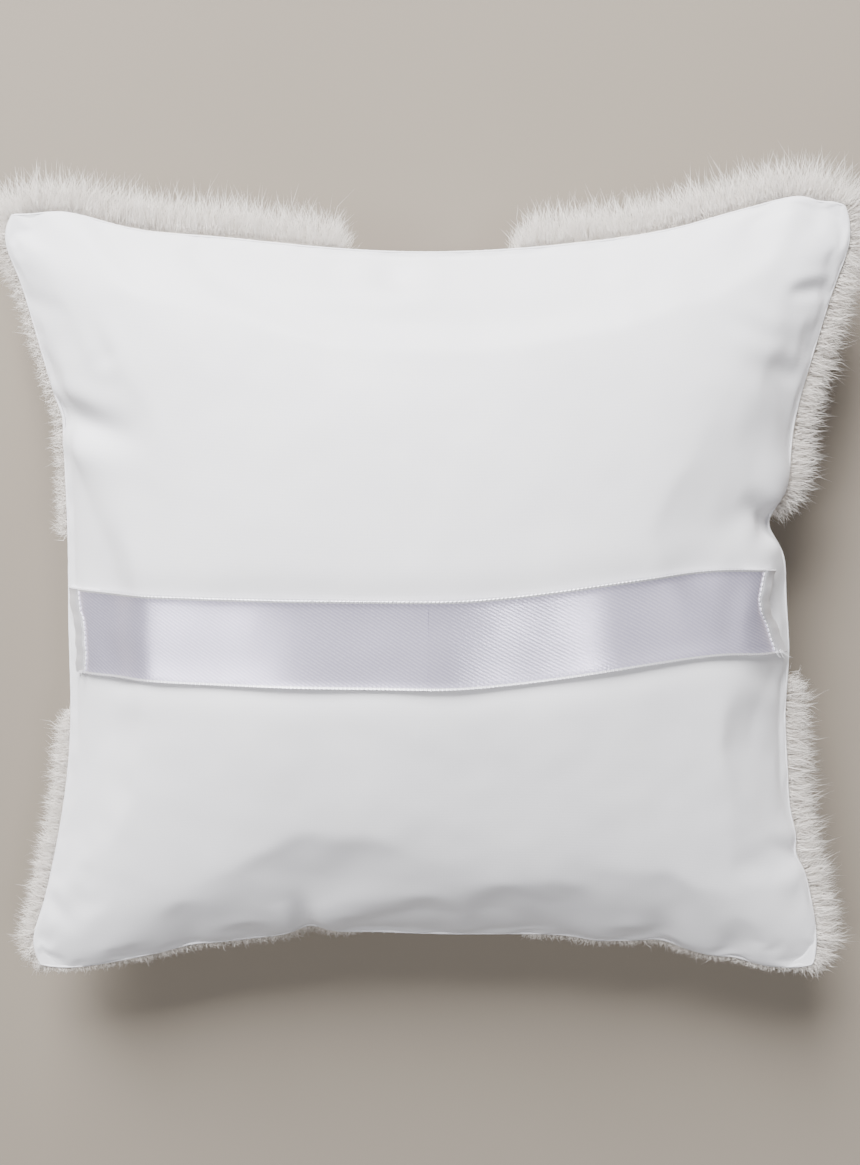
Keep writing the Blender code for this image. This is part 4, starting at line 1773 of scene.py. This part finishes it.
@dataclass
class Bow:
    """The flat satin bow under the sashes' crossing: a pleated knot, two loops and two notched tails."""

    finishes: Finishes
    top: float = field(default_factory=lambda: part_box("bow_knot")[1].z)
    knot: Place = (10.6 * MM, 12.6 * MM, 5.0 * MM)
    pleat: float = 2.1 * MM
    pleat_depth: float = 0.28 * MM
    ribbon_width: float = 16 * MM
    loop_length: float = 29 * MM
    loop_height: float = 4.0 * MM
    loop_start: float = 4.6 * MM
    tail_length: float = 42 * MM
    notch: float = 6 * MM
    columns: int = 13
    loop_depth: float = 2.3 * MM  # the loops' middle, under the knot's top
    loop_pleat: float = 3.4 * MM
    tail_start: float = -6.9 * MM
    tail_aside: float = 8.3 * MM
    tail_depth: float = 0.75 * MM
    tail_pleat: float = 4.4 * MM
    ribbon: Ribbon = field(default_factory=lambda: Ribbon(0.36 * MM, 0.28 * MM, 1.2 * MM, 0.2))

    def build_knot(self) -> Piece:
        """The knot: a block rounded and pleated along the band that wraps it.

        Returns:
            The knot.
        """
        wide, deep, high = self.knot
        bpy.ops.object.select_all(action="DESELECT")
        bpy.ops.mesh.primitive_cube_add(size=1, location=(0, 0, self.top - high / 2), scale=self.knot)
        piece = bpy.context.active_object
        bpy.ops.object.mode_set(mode="EDIT")
        bpy.ops.mesh.select_all(action="SELECT")
        bpy.ops.mesh.bevel(offset=1.7 * MM, offset_type="OFFSET", segments=3, affect="EDGES", profile=0.5)
        bpy.ops.mesh.select_all(action="SELECT")
        bpy.ops.mesh.subdivide(number_cuts=3)
        bpy.ops.mesh.remove_doubles(threshold=0.01 * MM)
        bpy.ops.mesh.normals_make_consistent(inside=False)
        bpy.ops.object.mode_set(mode="OBJECT")
        bpy.ops.object.transform_apply(location=True, rotation=True, scale=True)
        mesh = piece.data
        bpy.data.objects.remove(piece)
        points = points_of(mesh)
        x, y, z = points.T
        waist = 1 - 0.14 * bell(y, deep * 0.4)  # the loops squeeze it
        points[:, 0] = x * waist
        ridges = np.cos(2 * math.pi * x / self.pleat + 0.9) * self.pleat_depth
        points[:, 2] += ridges * (z - self.top + high / 2) / (high / 2)
        points[:, 2] = np.minimum(points[:, 2], self.top)
        move_points(mesh, points)
        set_uv(mesh, points[:, [1, 0]])
        mesh.polygons.foreach_set("use_smooth", np.ones(len(mesh.polygons), bool))
        return place_piece("satin_bow_knot", mesh, [self.finishes.ribbon], "satin_ribbon", "bow_knot")

    def lay(self, name: str, sheet: Array, across: Array) -> Piece:
        """Makes one ribbon of the bow.

        Args:
            name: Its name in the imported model.
            sheet: Its points, as stations along it, columns across it and three.
            across: How far from its middle line each column is, in metres.

        Returns:
            The ribbon.
        """
        run = distances(sheet[:, sheet.shape[1] // 2])
        mesh = self.ribbon.mesh(f"satin_{name}", sheet, run, across)
        woven = [self.finishes.ribbon, self.finishes.selvedge]
        piece = place_piece(mesh.name, mesh, woven, "satin_ribbon", name)
        return piece

    def build_loop(self, side: int, word: str) -> Piece:
        """One loop: a ribbon that leaves the knot, turns back and is pinched and pleated beside it.

        Args:
            side: -1 for the left one and 1 for the right one.
            word: Its side in words.

        Returns:
            The loop.
        """
        turn = np.linspace(0.06, 1.94, 130)
        across = self.ribbon.across(self.ribbon_width, self.columns)
        half = across[-1]
        angle, aside = np.meshgrid(turn * math.pi, across, indexing="ij")
        share = (1 - np.cos(angle)) / 2
        fat = 0.45 + 0.55 * smooth(share * 1.6)
        pinch = 0.62 + 0.38 * smooth(share * 1.8)
        middle = self.top - self.loop_depth
        x = side * (self.loop_start + self.loop_length * share - 0.6 * MM * (aside / half) ** 2 * share)
        z = middle + self.loop_height / 2 * np.sin(angle) * fat
        z += 0.22 * MM * np.cos(aside * 2 * math.pi / self.loop_pleat) * (1 - smooth(share * 1.5))
        sheet = np.stack([x, aside * pinch, z], axis=-1)
        return self.lay(f"bow_loop_{word}", sheet, across)

    def build_tail(self, side: int, word: str) -> Piece:
        """One tail, cut to a swallowtail at its end.

        Args:
            side: -1 for the left one and 1 for the right one.
            word: Its side in words.

        Returns:
            The tail.
        """
        share = np.linspace(0, 1, 110)
        across = self.ribbon.across(self.ribbon_width, self.columns)
        half = across[-1]
        along, aside = np.meshgrid(share, across, indexing="ij")
        length = self.tail_length - self.notch * (1 - np.abs(aside) / half)
        y = self.tail_start - length * along
        pinch = 0.42 + 0.58 * smooth(along * 3.2)
        x = side * (self.tail_aside * (0.62 + 0.38 * smooth(along * 2.5)) + 0.8 * MM * along) + aside * pinch
        z = self.top - self.tail_depth - 0.5 * MM * smooth(along * 2)
        z = z + 0.3 * MM * np.sin(along * 9 + side) * along
        z = z + 0.2 * MM * np.cos(aside * 2 * math.pi / self.tail_pleat) * (1 - smooth(along * 2.6))
        sheet = np.stack([x, y, z], axis=-1)
        return self.lay(f"bow_tail_{word}", sheet, across)

    def build(self) -> list[Piece]:
        """Makes the bow."""
        made = [self.build_knot()]
        for side, word in ((-1, "left"), (1, "right")):
            made.append(self.build_loop(side, word))
            made.append(self.build_tail(side, word))
        return made


# ---------------------------------------------------------------- the room


@dataclass
class Studio:
    """The camera, the soft lights and the plain floor."""

    target: Place = (0.5 * MM, 4.8 * MM, 30 * MM)
    distance: float = 0.313
    elevation: float = 96.3  # degrees above the horizon on the near side, so a little past straight down
    lens: float = 35.97
    panels: tuple[tuple[str, Place, tuple[float, float], float], ...] = (
        ("far_window", (-0.30, 0.99, 0.71), (0.7, 0.7), 62.0),
        ("left_panel", (-0.82, -0.06, 0.95), (0.2, 0.56), 6.3),
        ("right_panel", (0.363, -0.06, 0.95), (0.2, 0.16), 2.5),
        ("side_panel", (1.05, -0.06, 0.95), (0.2, 0.5), 1.6),
    )
    sky: str = "#E4E7FA"
    sky_strength: float = 0.08
    floor_width: float = 6.0
    floor_level: float = -0.2 * MM  # clear of the fur that lies on it

    def build_camera(self) -> None:
        """Puts the camera over the pillow."""
        data = bpy.data.cameras.new("camera")
        data.lens = self.lens
        data.clip_start = 0.01
        camera = bpy.data.objects.new("camera", data)
        angle = math.radians(self.elevation)
        back = Vector((0, -math.cos(angle), math.sin(angle)))
        camera.location = Vector(self.target) + back * self.distance
        camera.rotation_euler = (math.radians(90 - self.elevation), 0, 0)
        bpy.context.scene.collection.objects.link(camera)
        bpy.context.scene.camera = camera

    def add_panel(self, name: str, place: Place, size: tuple[float, float], power: float) -> None:
        """Adds a soft light that faces the pillow.

        Args:
            name: The light's name.
            place: Where its middle is.
            size: Its level side and its other side, in metres.
            power: Its power, in watts.
        """
        data = bpy.data.lights.new(name, "AREA")
        data.shape = "RECTANGLE"
        data.size, data.size_y = size
        data.energy = power
        light = bpy.data.objects.new(name, data)
        light.location = place
        light.rotation_euler = (Vector((0, 0, 0.03)) - Vector(place)).to_track_quat("-Z", "Y").to_euler()
        bpy.context.scene.collection.objects.link(light)

    def build(self) -> None:
        """Makes the room."""
        self.build_camera()
        for panel in self.panels:
            self.add_panel(*panel)
        world = bpy.data.worlds.new("room")
        bpy.context.scene.world = world
        world.use_nodes = True
        sky = world.node_tree.nodes["Background"]
        set_inputs(world.node_tree, sky, {"Color": linear(self.sky), "Strength": self.sky_strength})
        bpy.ops.object.select_all(action="DESELECT")
        bpy.ops.mesh.primitive_plane_add(size=self.floor_width, location=(0, 0, self.floor_level))
        floor = bpy.context.active_object
        floor.name = "floor"
        # A plain painted board: matt and pale, a little warm, dark enough for white fur to stand out.
        floor.data.materials.append(Fibre("matt_painted_board", "#8F867A", "#887F74", 0.3, 0.85, 0.0).make())


def main() -> None:
    """Builds the pillow piece by piece and reports each."""
    logging.basicConfig(level=logging.INFO, format="%(message)s")
    Studio().build()
    finishes = Finishes.make()
    shape = PillowShape()
    line = StrapLine()
    lines = SashLines()
    back = SatinBack(finishes, shape, line).build()
    made = [back, *HandStrap(finishes, line).build(back)]
    for part in (
        SeamEdge(finishes, shape),
        FurFront(finishes, shape, lines),
        Sashes(finishes, shape, lines),
        Bow(finishes),
    ):
        made += part.build()
    for piece in made:
        log.info("%s: %d faces", piece.name, len(piece.data.polygons))


if __name__ == "__main__":
    main()
